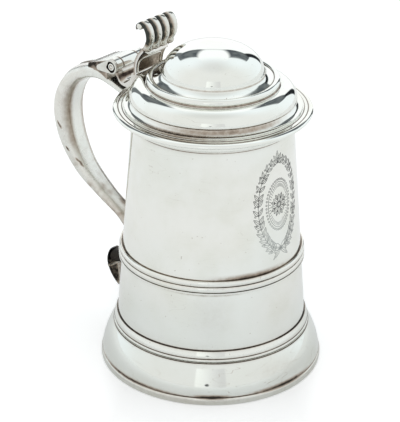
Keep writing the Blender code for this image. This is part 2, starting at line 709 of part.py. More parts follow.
def make_lid_hinge(parent, cutter):
    """Lid's knuckle and the trough-shaped bracket that carries it, cut to the lid's mouldings."""
    ends = (-LID_KNUCKLE_HALF_WIDTH, LID_KNUCKLE_HALF_WIDTH)
    knuckle = bored("lid_knuckle", round_edge(KNUCKLE_RADIUS), KNUCKLE_BORE, ends)
    new_object("lid_knuckle", knuckle, DARK_SILVER, parent)

    outline = arc((HINGE_X, HINGE_Z), (WRAP_RADIUS, WRAP_RADIUS), -12.0, -72.0, 5)
    outline += [
        (-FLANGE_RADIUS - BRACKET_CHIN, FLANGE_TOP),
        (-FLANGE_RADIUS - BRACKET_CHIN / 3.0, FLANGE_BOTTOM + FLANGE_THICKNESS / 2.0),
        (-BEAD_RADIUS, FLANGE_BOTTOM + FLANGE_THICKNESS / 2.0),
        (-BEAD_RADIUS, BRACKET_TOP),
    ]
    land = THUMB_X - THUMB_LAND
    lip = HINGE_X + WRAP_RADIUS + BRACKET_LIP
    trough = ((land + lip) / 2.0, BRACKET_TOP)
    outline += arc(trough, ((land - lip) / 2.0, BRACKET_SCOOP), 0.0, -165.0, 7)
    bracket = prism("lid_bracket", outline, BRACKET_HALF_WIDTH)
    cut(new_object("lid_bracket", bracket, DARK_SILVER, parent), cutter)


def thumb_curve(steps):
    """S-shaped side view of the thumbpiece from foot to rolled tip, as points and forward normals."""
    shares = [(0.0, 0.0), (0.02, 0.21), (0.10, 0.38), (0.23, 0.545), (0.31, 0.71), (0.29, 0.873),
              (0.20, 0.97), (0.11, 0.94), (0.103, 0.86)]
    foot = BRACKET_TOP + CLEARANCE
    route = smooth_route([(THUMB_X + x * THUMB_HEIGHT, foot + z * THUMB_HEIGHT) for x, z in shares], steps)
    curve = []
    for index, point in enumerate(route):
        run = direction_at(route, index)
        curve.append((Vector(point), Vector((run.y, -run.x))))
    return curve


def thumb_half_width(share):
    """Half the width of the thumbpiece, which fans out upwards."""
    return BRACKET_HALF_WIDTH + (THUMB_HALF_WIDTH - BRACKET_HALF_WIDTH) * clamp(share / SPREAD_END)


def rib_swell(share, crest):
    """Height of a rib above the sheet: nought below the ledge, then a knob, then an even half round."""
    above = share - LEDGE_PLACE
    if above < LEDGE_BAND:
        return 0.0
    knob = 1.0 + RIB_KNOB * max(0.0, 1.0 - above / KNOB_LENGTH)
    return RIB_DEPTH * knob * math.sqrt(crest)


def thumb_section(curve, share):
    """Closed row of points across the thumbpiece: the ribbed front one way and the back the other."""
    columns = RIB_COUNT * RIB_COLUMNS
    last = len(curve) - 1
    curl = clamp((share - CURL_START) / CURL_LENGTH)
    half_width = thumb_half_width(share)
    front = []
    back = []
    for column in range(columns + 1):
        across = column / columns
        crest = abs(math.sin(math.pi * RIB_COUNT * across))
        # The flutes end short of the crests, which parts the rolled tips
        position = share * last * (1.0 - FLUTE_SETBACK * clamp(1.0 - 2.0 * crest))
        index = min(int(position), last - 1)
        point = curve[index][0].lerp(curve[index + 1][0], position - index)
        normal = curve[index][1].lerp(curve[index + 1][1], position - index).normalized()
        swell = rib_swell(share, crest)
        forward = THUMB_SHEET / 2.0 + swell * (1.0 - RIB_BACK_SHARE * curl)
        if abs(share - LEDGE_PLACE) < LEDGE_BAND:
            forward = THUMB_SHEET + RIB_DEPTH
        behind = THUMB_SHEET / 2.0 + RIB_BACK_SHARE * swell
        # The tip is filled on its inner side, as a rolled edge
        behind += (THUMB_ROLL - behind) * curl * math.sqrt(crest)
        ahead = point + normal * forward
        inside = point - normal * behind
        y = (2.0 * across - 1.0) * half_width
        front.append((ahead.x, y, ahead.y))
        back.append((inside.x, y, inside.y))
    return front + back[::-1]


def make_thumbpiece(parent):
    """Cast scroll: a plain lower panel, a ledge, and knobbed ribs that fan out to separate rolled tips."""
    curve = thumb_curve(3)
    rows = len(curve)
    work = bmesh.new()
    loops = []
    for row in range(rows):
        section = thumb_section(curve, row / (rows - 1))
        loops.append([work.verts.new(point) for point in section])
    skin(work, loops)
    count = len(loops[0])
    for loop in (loops[0], loops[-1]):
        for near in range(count // 2 - 1):
            far = count - 1 - near
            work.faces.new((loop[near], loop[near + 1], loop[far - 1], loop[far]))
    new_object("thumbpiece", finish_mesh("thumbpiece", work), DARK_SILVER, parent)


def handle_reach():
    """Distance from the barrel's axis to the handle's outermost point."""
    return max(-spine_point(station).x for station in handle_stations())


def new_empty(name, location, parent=None):
    """Add an empty that carries pieces."""
    empty = bpy.data.objects.new(name, None)
    bpy.context.scene.collection.objects.link(empty)
    empty.parent = parent
    empty.location = location
    return empty


def build():
    """Clear the scene and make every piece."""
    for item in list(bpy.data.objects):
        bpy.data.objects.remove(item, do_unlink=True)
    root = new_empty("tankard", ((handle_reach() - FOOT_RADIUS) / 2.0, 0.0, 0.0))
    lid = new_empty("lid_hinge_axis", (HINGE_X, 0.0, HINGE_Z), root)
    body_cutter = turned_cutter("body_cutter", body_side(), root)
    lid_side = grown(shoulder_side(), CLEARANCE) + grown(flange_side(), CLEARANCE)
    lid_cutter = turned_cutter("lid_cutter", lid_side, lid)

    make_barrel(root)
    make_base_disc(root)
    make_foot_rim(root)
    make_foot_skirt(root)
    make_foot_collar(root)
    make_girdle(root)
    make_lip(root)
    make_handle(root, body_cutter)
    make_hinge_plate(root)
    make_hinge(root)
    make_lid(lid)
    make_lid_hinge(lid, lid_cutter)
    make_thumbpiece(lid)


build()
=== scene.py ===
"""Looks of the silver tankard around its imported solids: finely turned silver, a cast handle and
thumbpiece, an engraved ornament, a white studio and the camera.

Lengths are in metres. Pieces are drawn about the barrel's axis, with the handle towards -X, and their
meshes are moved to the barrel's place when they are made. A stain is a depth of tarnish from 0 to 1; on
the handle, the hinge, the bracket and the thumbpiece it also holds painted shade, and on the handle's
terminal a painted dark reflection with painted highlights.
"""
import math

import bmesh
import bpy
import mathutils.noise
from mathutils import Euler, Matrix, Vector


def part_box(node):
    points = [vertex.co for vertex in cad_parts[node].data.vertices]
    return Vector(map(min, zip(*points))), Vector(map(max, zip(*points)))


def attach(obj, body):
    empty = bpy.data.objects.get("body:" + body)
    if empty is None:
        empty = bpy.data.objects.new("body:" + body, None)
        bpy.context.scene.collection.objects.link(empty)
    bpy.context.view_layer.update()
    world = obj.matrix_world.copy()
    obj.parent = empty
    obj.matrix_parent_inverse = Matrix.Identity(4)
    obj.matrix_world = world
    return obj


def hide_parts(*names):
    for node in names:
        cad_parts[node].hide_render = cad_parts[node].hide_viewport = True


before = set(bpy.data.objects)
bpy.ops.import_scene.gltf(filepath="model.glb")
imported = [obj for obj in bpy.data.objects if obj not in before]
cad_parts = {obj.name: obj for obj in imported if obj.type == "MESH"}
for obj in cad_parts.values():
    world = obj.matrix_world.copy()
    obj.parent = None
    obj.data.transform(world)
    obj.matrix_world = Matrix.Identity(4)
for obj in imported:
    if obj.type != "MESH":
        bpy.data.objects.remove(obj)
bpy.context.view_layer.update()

MM = 0.001
SAME_LEVEL = 0.01 * MM


def radii_at(node, height):
    """Least and greatest distance of a node's points from the barrel's axis at a height."""
    spans = []
    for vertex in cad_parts[node].data.vertices:
        if abs(vertex.co.z - height) < SAME_LEVEL:
            spans.append(math.hypot(vertex.co.x - AXIS_X, vertex.co.y))
    return min(spans), max(spans)


def heights(node):
    """Lowest and highest level of a node."""
    low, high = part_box(node)
    return low.z, high.z


def spread(node):
    """Half of a node's greatest width across the handle's plane."""
    low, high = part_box(node)
    return (high.y - low.y) / 2.0


# Barrel and foot, from the frame
AXIS_X = sum(corner.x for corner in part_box("barrel")) / 2.0
BARREL_BOTTOM, RIM_HEIGHT = heights("barrel")
BARREL_LOWER_RADIUS = radii_at("barrel", BARREL_BOTTOM)[1]
BARREL_BORE, BARREL_RIM_RADIUS = radii_at("barrel", RIM_HEIGHT)
WALL = BARREL_RIM_RADIUS - BARREL_BORE
BASE_BOTTOM, BASE_TOP = heights("base_disc")
FOOT_RIM_HEIGHT = heights("foot_rim")[1]
FOOT_RIM_INNER = radii_at("foot_rim", 0.0)[0]
FOOT_RADIUS = spread("foot_rim")
SKIRT_BOTTOM, SKIRT_TOP = heights("foot_skirt")
SKIRT_LOWER_RADIUS = radii_at("foot_skirt", SKIRT_BOTTOM)[1]
SKIRT_INNER, SKIRT_UPPER_RADIUS = radii_at("foot_skirt", SKIRT_TOP)
COLLAR_TOP = heights("foot_collar")[1]
GIRDLE_BOTTOM, GIRDLE_TOP = heights("girdle_band")
LIP_BOTTOM = heights("lip_moulding")[0]
LIP_RADIUS = spread("lip_moulding")

# Lid and hinge, from the frame
FLANGE_BOTTOM, FLANGE_TOP = heights("lid_flange")
FLANGE_RADIUS = spread("lid_flange")
FLANGE_BORE, FLANGE_LEDGE_RADIUS = radii_at("lid_flange", FLANGE_TOP)
COVER_BOTTOM, COVER_TOP = heights("lid_cover")
BEZEL_BOTTOM = heights("lid_bezel")[0]
BEZEL_RADIUS = spread("lid_bezel")
HINGE_X = sum(corner.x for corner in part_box("lid_knuckle")) / 2.0 - AXIS_X
HINGE_Z = sum(heights("lid_knuckle")) / 2.0
KNUCKLE_RADIUS = heights("lid_knuckle")[1] - HINGE_Z
LID_KNUCKLE_HALF_WIDTH = spread("lid_knuckle")
HINGE_HALF_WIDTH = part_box("hinge_cheek_far")[1].y
CHEEK_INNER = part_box("hinge_cheek_far")[0].y
PLATE_HALF_WIDTH = spread("hinge_plate")
PLATE_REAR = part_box("hinge_plate")[0].x - AXIS_X
BRACKET_HALF_WIDTH = spread("lid_bracket")
BRACKET_TOP = heights("lid_bracket")[1]
THUMB_HALF_WIDTH = spread("thumbpiece")

# Mouldings, as the solids have them apart from a squarer foot, a fuller bead and a steeper dish
CLEARANCE = 0.3 * MM
SEAT_DEPTH = 0.15 * MM
BASE_MARGIN = 10.0 * MM
BASE_SINK = 0.4 * MM
FOOT_BULGE = 1.4 * MM
FOOT_EDGE = 0.9 * MM
SKIRT_LEAN = 8.0
REED_HEIGHT = 2.0 * MM
REED_TOP = SKIRT_TOP + CLEARANCE + REED_HEIGHT
REED_PROUD = 1.65 * MM
REED_FLAT = 0.55 * REED_PROUD
COLLAR_PROUD = 1.3 * MM
COLLAR_EDGE = 0.25 * MM
GIRDLE_PROUD = 1.6 * MM
GIRDLE_FILLET = 1.1 * MM
GIRDLE_FILLET_PROUD = 0.85 * GIRDLE_PROUD
GIRDLE_FLAT = 0.64 * MM
GIRDLE_REED = (GIRDLE_TOP - GIRDLE_BOTTOM - GIRDLE_FILLET) / 2.0
LIP_FILLET = 1.9 * MM
LIP_EDGE = 0.4 * MM
FLANGE_NOSE = 2.6 * MM
FLANGE_NOSE_HALF = 0.42 * (FLANGE_TOP - FLANGE_BOTTOM)
FLANGE_STEP_WIDTH = 1.3 * MM
FLANGE_STEP_DEPTH = 0.45 * MM
FLANGE_DRAFT = 0.1 * MM
STEP_HEIGHT = 157.2 * MM
SHOULDER_RADIUS = 45.6 * MM
SHOULDER_TOP = 165.3 * MM
SHOULDER_EDGE = 0.5 * MM
SHOULDER_UNDERCUT = 1.0 * MM
COVE_SETBACK = 0.7 * MM
BEAD_RADIUS = 36.3 * MM
BEAD_TOP = 169.5 * MM
BEAD_ROLL = 2.0 * MM
BEAD_START = 138.0
BEAD_UNDERCUT = 0.25 * MM
DISH_SLOPE = 21.0
DISH_TURN = 40.0
DOME_BASE = 170.8 * MM
DOME_RADIUS = 27.7 * MM
DOME_SQUARENESS = 2.2

# Handle, as the solids have it
HANDLE_BOW = 102.7 * MM
HANDLE_WIDTH = 19.0 * MM
HANDLE_DEPTH = 13.6 * MM
HANDLE_SHEET = 1.0 * MM
STRAP_SHARE = 0.54
STRAP_RECESS = 0.5 * MM
STRAP_CROWN = 0.3 * MM
TERMINAL_HEIGHT = 24.5 * MM
TERMINAL_HALF_WIDTH = 6.5 * MM
TERMINAL_THICKNESS = 2.0 * MM
TERMINAL_TOP_MARGIN = 0.8 * MM
TERMINAL_LEDGE = 0.62
TERMINAL_LEDGE_BAND = 0.05
TERMINAL_LEAN = 1.8 * MM
TERMINAL_FULLEST = 0.72
TERMINAL_TOP_SHARE = 0.30
TERMINAL_POINT = 1.7
TERMINAL_LEAST = 0.2 * MM
TERMINAL_RIDGE_POWER = 0.9
# Thickness of the shield as shares of its own: at the edge, and what the ridge and the ledge add
TERMINAL_EDGE, TERMINAL_RIDGE, TERMINAL_STEP = 0.3, 1.5, 0.5
# Painted dark reflection on the shield: its near and far half below the ledge and all above it, and how far
# the painted highlights clear it
TERMINAL_NEAR_REFLECTION, TERMINAL_FAR_REFLECTION, TERMINAL_ABOVE_REFLECTION, TERMINAL_HIGHLIGHT_CLEARS = 0.98, 0.62, 0.95, 0.8
# Painted highlights on the shield: strength along its ridge and reach to each side of it, and the stretch at
# its foot
TERMINAL_CREST_HIGHLIGHT, TERMINAL_CREST_REACH, TERMINAL_FOOT_HIGHLIGHT = 0.8, 0.16, (-0.16, -0.04)

# Scroll of the strap's face with the section on it. A knot stands out from the barrel's side by a share of
# the way to the bow. Then come its height, depth and width, as shares, and the squareness of the section.
HANDLE_KNOTS = [
    (-0.057, 0.912, 0.34, 0.84, 3.0),
    (0.192, 0.947, 0.34, 0.89, 3.0),
    (0.397, 0.977, 0.41, 0.95, 3.0),
    (0.579, 0.990, 0.60, 0.97, 3.0),
    (0.759, 0.972, 0.66, 1.00, 2.6),
    (0.919, 0.922, 0.78, 1.00, 2.2),
    (1.000, 0.830, 1.00, 1.00, 2.1),
    (0.968, 0.718, 0.96, 0.95, 2.1),
    (0.816, 0.606, 0.72, 0.82, 2.1),
    (0.538, 0.520, 0.53, 0.67, 2.1),
    (0.242, 0.450, 0.44, 0.60, 2.1),
    (0.000, 0.350, 0.485, 0.59, 2.1),
    (0.026, 0.268, 0.545, 0.58, 2.1),
    (0.183, 0.236, 0.55, 0.58, 2.1),
    (0.385, 0.218, 0.55, 0.58, 2.1),
]

# Stains along the handle, by shares of its length from the rim: even soil, painted shade in the creases at
# the strap's edges and mottling, each with what the bow or the lower part adds
BOW_PLACE = 0.44
BOW_REACH = 0.2
# Stretch near the terminal over which the handle takes on the terminal's painted dark reflection
DARK_REFLECTION_TAIL = (0.84, 0.87)
SOIL, LOWER_SOIL, LOWER_SOIL_RUN = 0.11, 0.17, (0.45, 0.7)
CREASE_SHADE, BOW_CREASE_SHADE = 0.18, 0.26
# How the painted crease shade fades: power, and reach in steps of the shell's and of the strap's section
EDGING_POWER, SHELL_EDGING, STRAP_EDGING = 1.5, 9.0, 4.0
MOTTLE, LOWER_MOTTLE, LOWER_MOTTLE_RUN = 0.12, 0.45, (0.5, 0.72)
MOTTLE_SIZE = 5.0 * MM
STRAP_SOIL, STRAP_MOTTLE, STRAP_LINE, STRAP_RUN = 0.24, 0.5, 0.9, (0.48, 0.62)
# Marks on the handle's near side: place along it, place round its section and depth
MARK_REACH = 0.008
HANDLE_MARKS = [
    (0.471, 0.806, 0.8),
    (0.479, 0.833, 0.7),
    (0.529, 0.833, 0.9),
    (0.557, 0.92, 0.7),
    (0.564, 0.94, 0.7),
    (0.571, 0.94, 0.7),
]

# Hinge, bracket and thumbpiece, as the solids have them, with finer cast detail
PLATE_THICKNESS = 3.0 * MM
PLATE_BEVEL = 1.0 * MM
# Ruled lines on the plate: their distances from its rear edge, and the offset, depth and stain across a line
PLATE_LINES = (3.6 * MM, 1.1 * MM)
LINE_PROFILE = ((0.9, 0.0, 0.0), (0.6, 0.1, 1.0), (0.0, 0.4, 1.0), (-0.6, 0.1, 1.0), (-0.9, 0.0, 0.0))
# Sections across the plate: share of its half width and least stain there, which on its two side faces is
# tarnish and painted shade
PLATE_SECTIONS = ((-1.0, 0.25), (-0.97, 0.5), (-0.94, 0.0), (0.94, 0.0), (0.97, 0.5), (1.0, 0.25))
DROP_HEIGHT = 1.7 * MM
PIN_RADIUS = 1.6 * MM
PIN_HEAD_PROUD = 0.7 * MM
PIN_DOT = 0.55 * MM
PIN_RING = 1.7 * PIN_DOT
KNUCKLE_JOINT = 0.7 * MM
# Stains of a knuckle: painted shade level with the axis and what a radius below adds to it, and the dark
# joints at its ends
KNUCKLE_LEVEL_SHADE, KNUCKLE_SHADE_BELOW, KNUCKLE_END_STAIN = 0.1, 1.4, 0.8
CHEEK_BORE = 3.2 * MM
CHEEK_CHAMFER = 0.15 * MM
CHEEK_SOFT = 0.55 * MM
# A cheek's rounded edge: share of that softness from the outer face, and inset
CHEEK_ROUNDING = ((1.0, 0.0), (0.4, 0.18 * MM), (0.1, 0.42 * MM), (0.0, 0.75 * MM))
CHEEK_TAIL_LENGTH = 9.3 * MM
CHEEK_TAIL_FALL = 2.6 * MM
CHEEK_TAIL_RADIUS = 1.75 * MM
CHEEK_STAINS = (0.2, 0.2, 0.2, 0.2, 0.16, 0.2, 1.0, 1.0)
BRACKET_CHIN = 5.6 * MM
BRACKET_CHIN_RUN = 5.0 * MM
BRACKET_CHIN_RISE = 1.6 * MM
BRACKET_SCOOP = 5.8 * MM
BRACKET_LIP = 0.5 * MM
BRACKET_FLARE = 2.4 * MM
BRACKET_EDGE = 0.3 * MM
BRACKET_SPACING = 0.8 * MM
SCOOP_END = 165.0
BRACKET_WRAP = (-10.0, -72.0)
CHIN_TURN = (190.0, 270.0)
# Stains of the bracket: painted shade under the knuckle, stain on its chin and beside the lid, in the scoop,
# and what the painted shade adds there
BRACKET_STAINS_AND_SHADE = (0.5, 0.1, 0.3)
SCOOP_STAIN, SCOOP_SHADE = 0.12, 0.8
# Angles round the scoop between which its shade comes and goes, and its flare's middle and reach
SHADE_COMES, SHADE_GOES = (112.0, 137.0), (-163.0, -151.0)
FLARE_MIDDLE, FLARE_REACH = -125.0, 60.0
THUMB_X = -47.6 * MM
THUMB_LAND = 2.4 * MM
THUMB_HEIGHT = 33.0 * MM
THUMB_SHEET = 1.4 * MM
RIB_COUNT = 4
RIB_DEPTH = 2.1 * MM
RIB_BACK = 1.0 * MM
RIB_LEAST = 0.02 * MM
RIB_HALF_SHARE = 0.48
RIB_KNOB = 0.5
RIB_SQUARENESS = 2.3
# Stains of a rib: behind it, on its knob, the turns between which painted shade darkens its near flank and
# tarnish the foot of its far flank, and the stretch of its length in which they come up
RIB_BEHIND, KNOB_STAIN = 0.7, 0.5
NEAR_FLANK_SHADE, FAR_FLANK, FLANK_RUN = (94.0, 140.0), (-30.0, -8.0), (0.10, 0.20)
ROLL_RADIUS = 2.1 * MM
ROLL_SQUARENESS = 3.6
ROLL_END_TURN = 86.0
ROLL_PROUD = 0.35 * MM
ROLL_X = -42.0 * MM
ROLL_Z = 190.4 * MM

# Places on the thumbpiece, as shares of its length from foot to tip, and the frame on its lower panel
THUMB_KNOTS = [(0.0, 0.0), (0.02, 0.21), (0.10, 0.38), (0.23, 0.545), (0.31, 0.71), (0.29, 0.873),
               (0.20, 0.97), (0.11, 0.94), (0.103, 0.86)]
LEDGE_PLACE = 0.32
LEDGE_BAND = 0.020
SHEET_SETBACK = 0.08
SPREAD_END = 0.75
RIB_START = 0.325
SETBACK_END = RIB_START + 0.06
KNOB_LENGTH = 0.07
RIB_THINNING = 0.58
RIB_THINNED = 0.85
CURL_END = 0.88
THUMB_SHEET_END = 0.70
PANEL_SCALE = 56.0 * MM
FOOT_LINE = 1.0 * MM
FRAME_TOP = 10.8 * MM
FRAME_HALF_WIDTH = 9.0 * MM
FRAME_CORNER = 3.5 * MM
FRAME_RIDGE = 0.75 * MM
FRAME_HEIGHT = 0.7 * MM
LEDGE_DEPTH = 2.7 * MM
LEDGE_HALF_WIDTH = 9.5 * MM
LEDGE_END = 1.5 * MM

# Fineness
SEGMENTS = 224
HINGE_SEGMENTS = 64
ROLL_SEGMENTS = 36
FILLET = 0.25 * MM
FILLET_TURN = math.radians(24.0)
FILLET_STEPS = 4
FILLET_LIMIT = 0.45
SHARP_ANGLE = math.radians(50.0)
BEVEL_ANGLE = math.radians(28.0)
SEAM_REACH = 1.6 * MM
SEAM_SPACING = 0.2 * MM
PLAIN_SPACING = 6.0 * MM
COLLAR_STEPS = 12
HANDLE_STEPS = 10
SHELL_STEPS = 36
STRAP_STEPS = 12
TERMINAL_ROWS = 40
TERMINAL_COLUMNS = 24
DROP_STEPS = 16
BRACKET_STEPS = 24
SCOOP_STEPS = 24
THUMB_STEPS = 16
THUMB_ROWS = 110
THUMB_COLUMNS = 72
RIB_ROWS = 70
RIB_STEPS = 20
ROLL_STEPS = 24
LEAF_STEPS = 10
STEM_STEPS = 40

# Engraved wreath
ENGRAVED_HEIGHT = 107.5 * MM
ENGRAVED_WIDTH = 0.29 * MM
ENGRAVED_PROUD = 0.03 * MM
ENGRAVED_SUNK = 0.05 * MM
WREATH_RADII = (15.0 * MM, 25.5 * MM)
WREATH_TURN = (-84.0, 72.0)
WREATH_PAIRS = 15
WREATH_LEAF = 6.0 * MM
LEAF_SPLAY = 38.0
BERRY_RADIUS = 0.45 * MM
PETALS = 8
# Rows of petals: turn as a share of the pitch, distance from the centre, length and breadth
PETAL_ROWS = ((0.0, 1.4 * MM, 4.6 * MM, 1.35 * MM), (0.5, 3.2 * MM, 3.4 * MM, 0.8 * MM))
PATERA_EYES = (0.8 * MM, 1.4 * MM)
PATERA_RADII = ((8.3 * MM, 13.0 * MM), (9.6 * MM, 14.4 * MM))
PATERA_BEADS = 44
BEAD_DOT = 0.5 * MM
RAY_SHARES = (0.78, 0.86, 0.94)
BOW_KNOT = (1.0 * MM, 1.3 * MM)
# Loops and ends of the bow: heading, length and breadth
BOW_LEAVES = ((22.0, 8.5 * MM, 2.0 * MM), (-42.0, 8.0 * MM, 1.1 * MM))
PALMETTE_SPLAYS = (-64.0, -32.0, 0.0, 32.0, 64.0)

# Finishes: slot, colour, colour of deep tarnish and painted shade, roughness and how much the hairline
# scratches show
FINISHES = {
    "polished_silver": ("polished_silver", (0.868, 0.866, 0.818), (0.05, 0.042, 0.035), 0.035, 0.25),
    "worn_silver": ("polished_silver", (0.775, 0.775, 0.73), (0.05, 0.042, 0.035), 0.06, 0.6),
    "satin_silver": ("satin_silver", (0.86, 0.85, 0.80), (0.035, 0.03, 0.025), 0.20, 0.25),
    "dark_silver": ("dark_silver", (0.80, 0.75, 0.71), (0.05, 0.036, 0.03), 0.10, 0.25),
    "ribbed_silver": ("polished_silver", (0.76, 0.75, 0.70), (0.052, 0.057, 0.050), 0.07, 0.25),
    "engraved_silver": ("dark_silver", (0.07, 0.07, 0.068), (0.02, 0.02, 0.02), 0.35, 0.25),
    "hinge_silver": ("dark_silver", (0.85, 0.84, 0.80), (0.07, 0.05, 0.04), 0.09, 0.25),
    # Finish of the handle's terminal, darkened further by its painted dark reflection
    "black_silver": ("dark_silver", (0.55, 0.55, 0.54), (0.012, 0.012, 0.013), 0.12, 0.25),
}
# Brown of middling tarnish, which also colours the painted shade that a stain holds
BROWN_TARNISH_AND_SHADE = (0.39, 0.325, 0.265, 1.0)
COOL_TINT = (0.83, 0.875, 0.845, 1.0)
WORN_SHARES = (0.93, 0.93, 0.90)
WAVE_STRENGTH = 0.12
# Values of a noise, or depths of tarnish and painted shade, between which a mark comes up
PATCH_RUN, PIT_RUN, HAIRLINE_RUN, SCORED_RUN = (0.3, 0.7), (0.75, 0.80), (0.004, 0.0005), (0.5, 0.62)
WORN_RUN, TINT_RUN, CLOUD_RUN = (0.35, 0.7), (0.35, 0.65), (0.4, 0.75)
BROWN_RUN, TARNISH_AND_SHADE_RUN = (0.0, 0.6), (0.45, 1.0)
# Least share of a stain that shows, what patches add to it, depth of the pits and share of the cool tint
BROKEN_LEAST, PATCH_DEPTH, PIT_DEPTH, TINT_SHARE = 0.3, 0.5, 0.3, 0.5
# What clouds, as a share of it, hairlines, the matt inside and deep tarnish and painted shade add to the
# roughness
CLOUD_ROUGH, HAIRLINE_ROUGH, MATT_ROUGH, TARNISH_AND_SHADE_ROUGH = 0.6, 0.12, 0.5, 0.3
HAIRLINE_HEIGHT = -0.012
# Noises of the silver: scale, detail and roughness
BLOTCHES = (38.0, 4.0, 0.6)
SPECKLES = (420.0, 3.0, 0.6)
PATCHES = (24.0, 2.0, 0.5)
PITS = (640.0, 1.0, 0.5)
HAIRLINES = (45.0, 1.0, 0.5)
HAIRLINE_STRETCH = (1.0, 1.0, 6.0)
TINTS = (14.0, 1.0, 0.5)
WAVES = (26.0, 2.0, 0.5)

# Studio. Angles across are measured from the direction behind the tankard, and rises from level. Bands are
# given by low, high and softness, fades by where they start and end, slants by slope and level at nought.
FLOOR_REACH = 6.0
FLOOR_SHADE = 0.89
FLOOR_LIFT = 0.30
SHADOW_LIFT = 0.19
MIRRORED_LIFT = 0.09
SHADOW_SIDE = (FOOT_RADIUS - 18.0 * MM, FOOT_RADIUS + 2.0 * MM)
SHADOW_LEFT = 0.7
WHITE = (1.0, 1.0, 1.0, 1.0)
TENT_COLOUR = (0.94, 0.945, 0.94, 1.0)
BACK_COLOUR = (1.03, 1.09, 1.13, 1.0)
BACK_FADE = (120.0, 50.0)
ZENITH_COLOUR = (0.83, 0.84, 0.84, 1.0)
ZENITH_FADE = (55.0, 88.0)
BACKDROP_COLOUR = (1.16, 1.18, 1.20, 1.0)
BACKDROP_SIDE_FADE = (34.0, 22.0)
BACKDROP_TOP_FADE = (70.0, 54.0)
GAP_COLOUR = (0.19, 0.21, 0.22, 1.0)
GAP_SHADE = (0.09, 0.105, 0.12, 1.0)
GAP_NOISE = (7.0, 1.0, 0.5)
GAP_UPPER_SLANTS = ((1.0, 29.0), (-0.7, 71.5))
GAP_LOWER_SLANTS = ((-0.38, 38.5), (0.8, -0.5))
GAP_UPPER_SOFTNESS = 4.0
GAP_LOWER_SOFTNESS = 1.2
COLUMN_COLOUR = (0.02, 0.023, 0.027, 1.0)
COLUMN_ACROSS = (25.5, 34.0, 1.2)
COLUMN_RISE = (-3.0, 30.0, 3.0)
COLUMN_SIDE_SOFTNESS = 5.0
ARCH_FADE = (14.0, 8.0)
ARCH_RISE = (35.5, 38.5, 1.2)
ARCH_DEPTH = 0.3
PANE_COLOUR = (1.13, 1.15, 1.14, 1.0)
PANE_SHADE = (0.82, 0.82, 0.83, 1.0)
PANE_FADE = (-14.0, 16.0)
PANE_ACROSS = (-16.0, 15.5, 0.8)
PANE_RISE = (-8.0, 28.0, 0.8)
LENS_PLACE = (3.2, 3.8)
LENS_RADIUS = 2.0
LENS_SOFTNESS = 0.3

# Camera, from the photograph's frame of 400 by 422 pixels
CAMERA_AZIMUTH = 40.0
CAMERA_ELEVATION = 26.21
CAMERA_DISTANCE = 1104.8 * MM
CAMERA_AIM_HEIGHT = 88.1 * MM
CAMERA_TURN = (-0.0035, 0.345, 0.59)
CAMERA_LENS = 169.51


def clamp(value):
    """A value held between nought and one."""
    return min(1.0, max(0.0, value))


def rising(value, low, high):
    """Share of the way from a low value to a high one."""
    return clamp((value - low) / (high - low))


def hump(value, middle, half):
    """Smooth rise to one at the middle of a band and nought outside it."""
    return 0.5 + 0.5 * math.cos(math.pi * min(1.0, abs(value - middle) / half))


def superellipse(value, power):
    """Signed power of a sine or cosine, which squares an ellipse off."""
    return math.copysign(abs(value) ** (2.0 / power), value)


def on_oval(centre, radii, degrees):
    """Point of an oval at an angle."""
    angle = math.radians(degrees)
    return (centre[0] + radii[0] * math.cos(angle), centre[1] + radii[1] * math.sin(angle))


def arc(centre, radii, start, end, steps):
    """Points of an elliptic arc about a centre, from one angle to another in degrees."""
    return [on_oval(centre, radii, start + (end - start) * step / steps) for step in range(steps + 1)]


def barrel_radius(height):
    """Outer radius of the barrel's cone at a height."""
    share = (height - BARREL_BOTTOM) / (RIM_HEIGHT - BARREL_BOTTOM)
    return BARREL_LOWER_RADIUS + (BARREL_RIM_RADIUS - BARREL_LOWER_RADIUS) * share


def seat_radius(height):
    """Radius at which a soldered ring meets the barrel."""
    return barrel_radius(height) - SEAT_DEPTH


def barrel_outline():
    """Tapering wall of the barrel."""
    lower = BARREL_LOWER_RADIUS
    return [(BARREL_RIM_RADIUS, RIM_HEIGHT), (lower, BARREL_BOTTOM), (lower - WALL, BARREL_BOTTOM),
            (BARREL_BORE, RIM_HEIGHT)]


def base_outline():
    """Disc let into the lower end of the barrel, slightly dished on top."""
    edge = spread("base_disc")
    dish = radii_at("base_disc", BASE_TOP)[1] - BASE_MARGIN
    floor = BASE_TOP - BASE_SINK
    return [(0.0, floor), (dish, floor), (edge, BASE_TOP), (edge, BASE_BOTTOM), (0.0, BASE_BOTTOM)]


def foot_rim_outline():
    """Wire that the tankard stands on, rounded outside with a squarer lower edge."""
    half = FOOT_RIM_HEIGHT / 2.0
    outline = [(FOOT_RIM_INNER, FOOT_RIM_HEIGHT)]
    outline += arc((FOOT_RADIUS - FOOT_BULGE, half), (FOOT_BULGE, half), 72.0, 0.0, 10)
    outline += arc((FOOT_RADIUS - FOOT_EDGE, FOOT_EDGE), (FOOT_EDGE, FOOT_EDGE), -4.0, -90.0, 8)
    return outline + [(FOOT_RIM_INNER, 0.0)]


def skirt_outline():
    """Spreading skirt: a round arc from the foot's rim to the collar."""
    rise = SKIRT_TOP - SKIRT_BOTTOM
    lean = math.radians(SKIRT_LEAN)
    top_angle = 2.0 * math.atan2(SKIRT_LOWER_RADIUS - SKIRT_UPPER_RADIUS, rise) - lean
    bend = rise / (math.sin(top_angle) - math.sin(lean))
    centre = (SKIRT_LOWER_RADIUS - bend * math.cos(lean), SKIRT_BOTTOM - bend * math.sin(lean))
    outer = arc(centre, (bend, bend), math.degrees(top_angle), SKIRT_LEAN, 28)
    thickness = SKIRT_UPPER_RADIUS - SKIRT_INNER
    outer[0] = (outer[0][0], SKIRT_TOP + CLEARANCE)
    outer[-1] = (outer[-1][0], SKIRT_BOTTOM - CLEARANCE)
    return outer + [(radius - thickness, height) for radius, height in reversed(outer)]


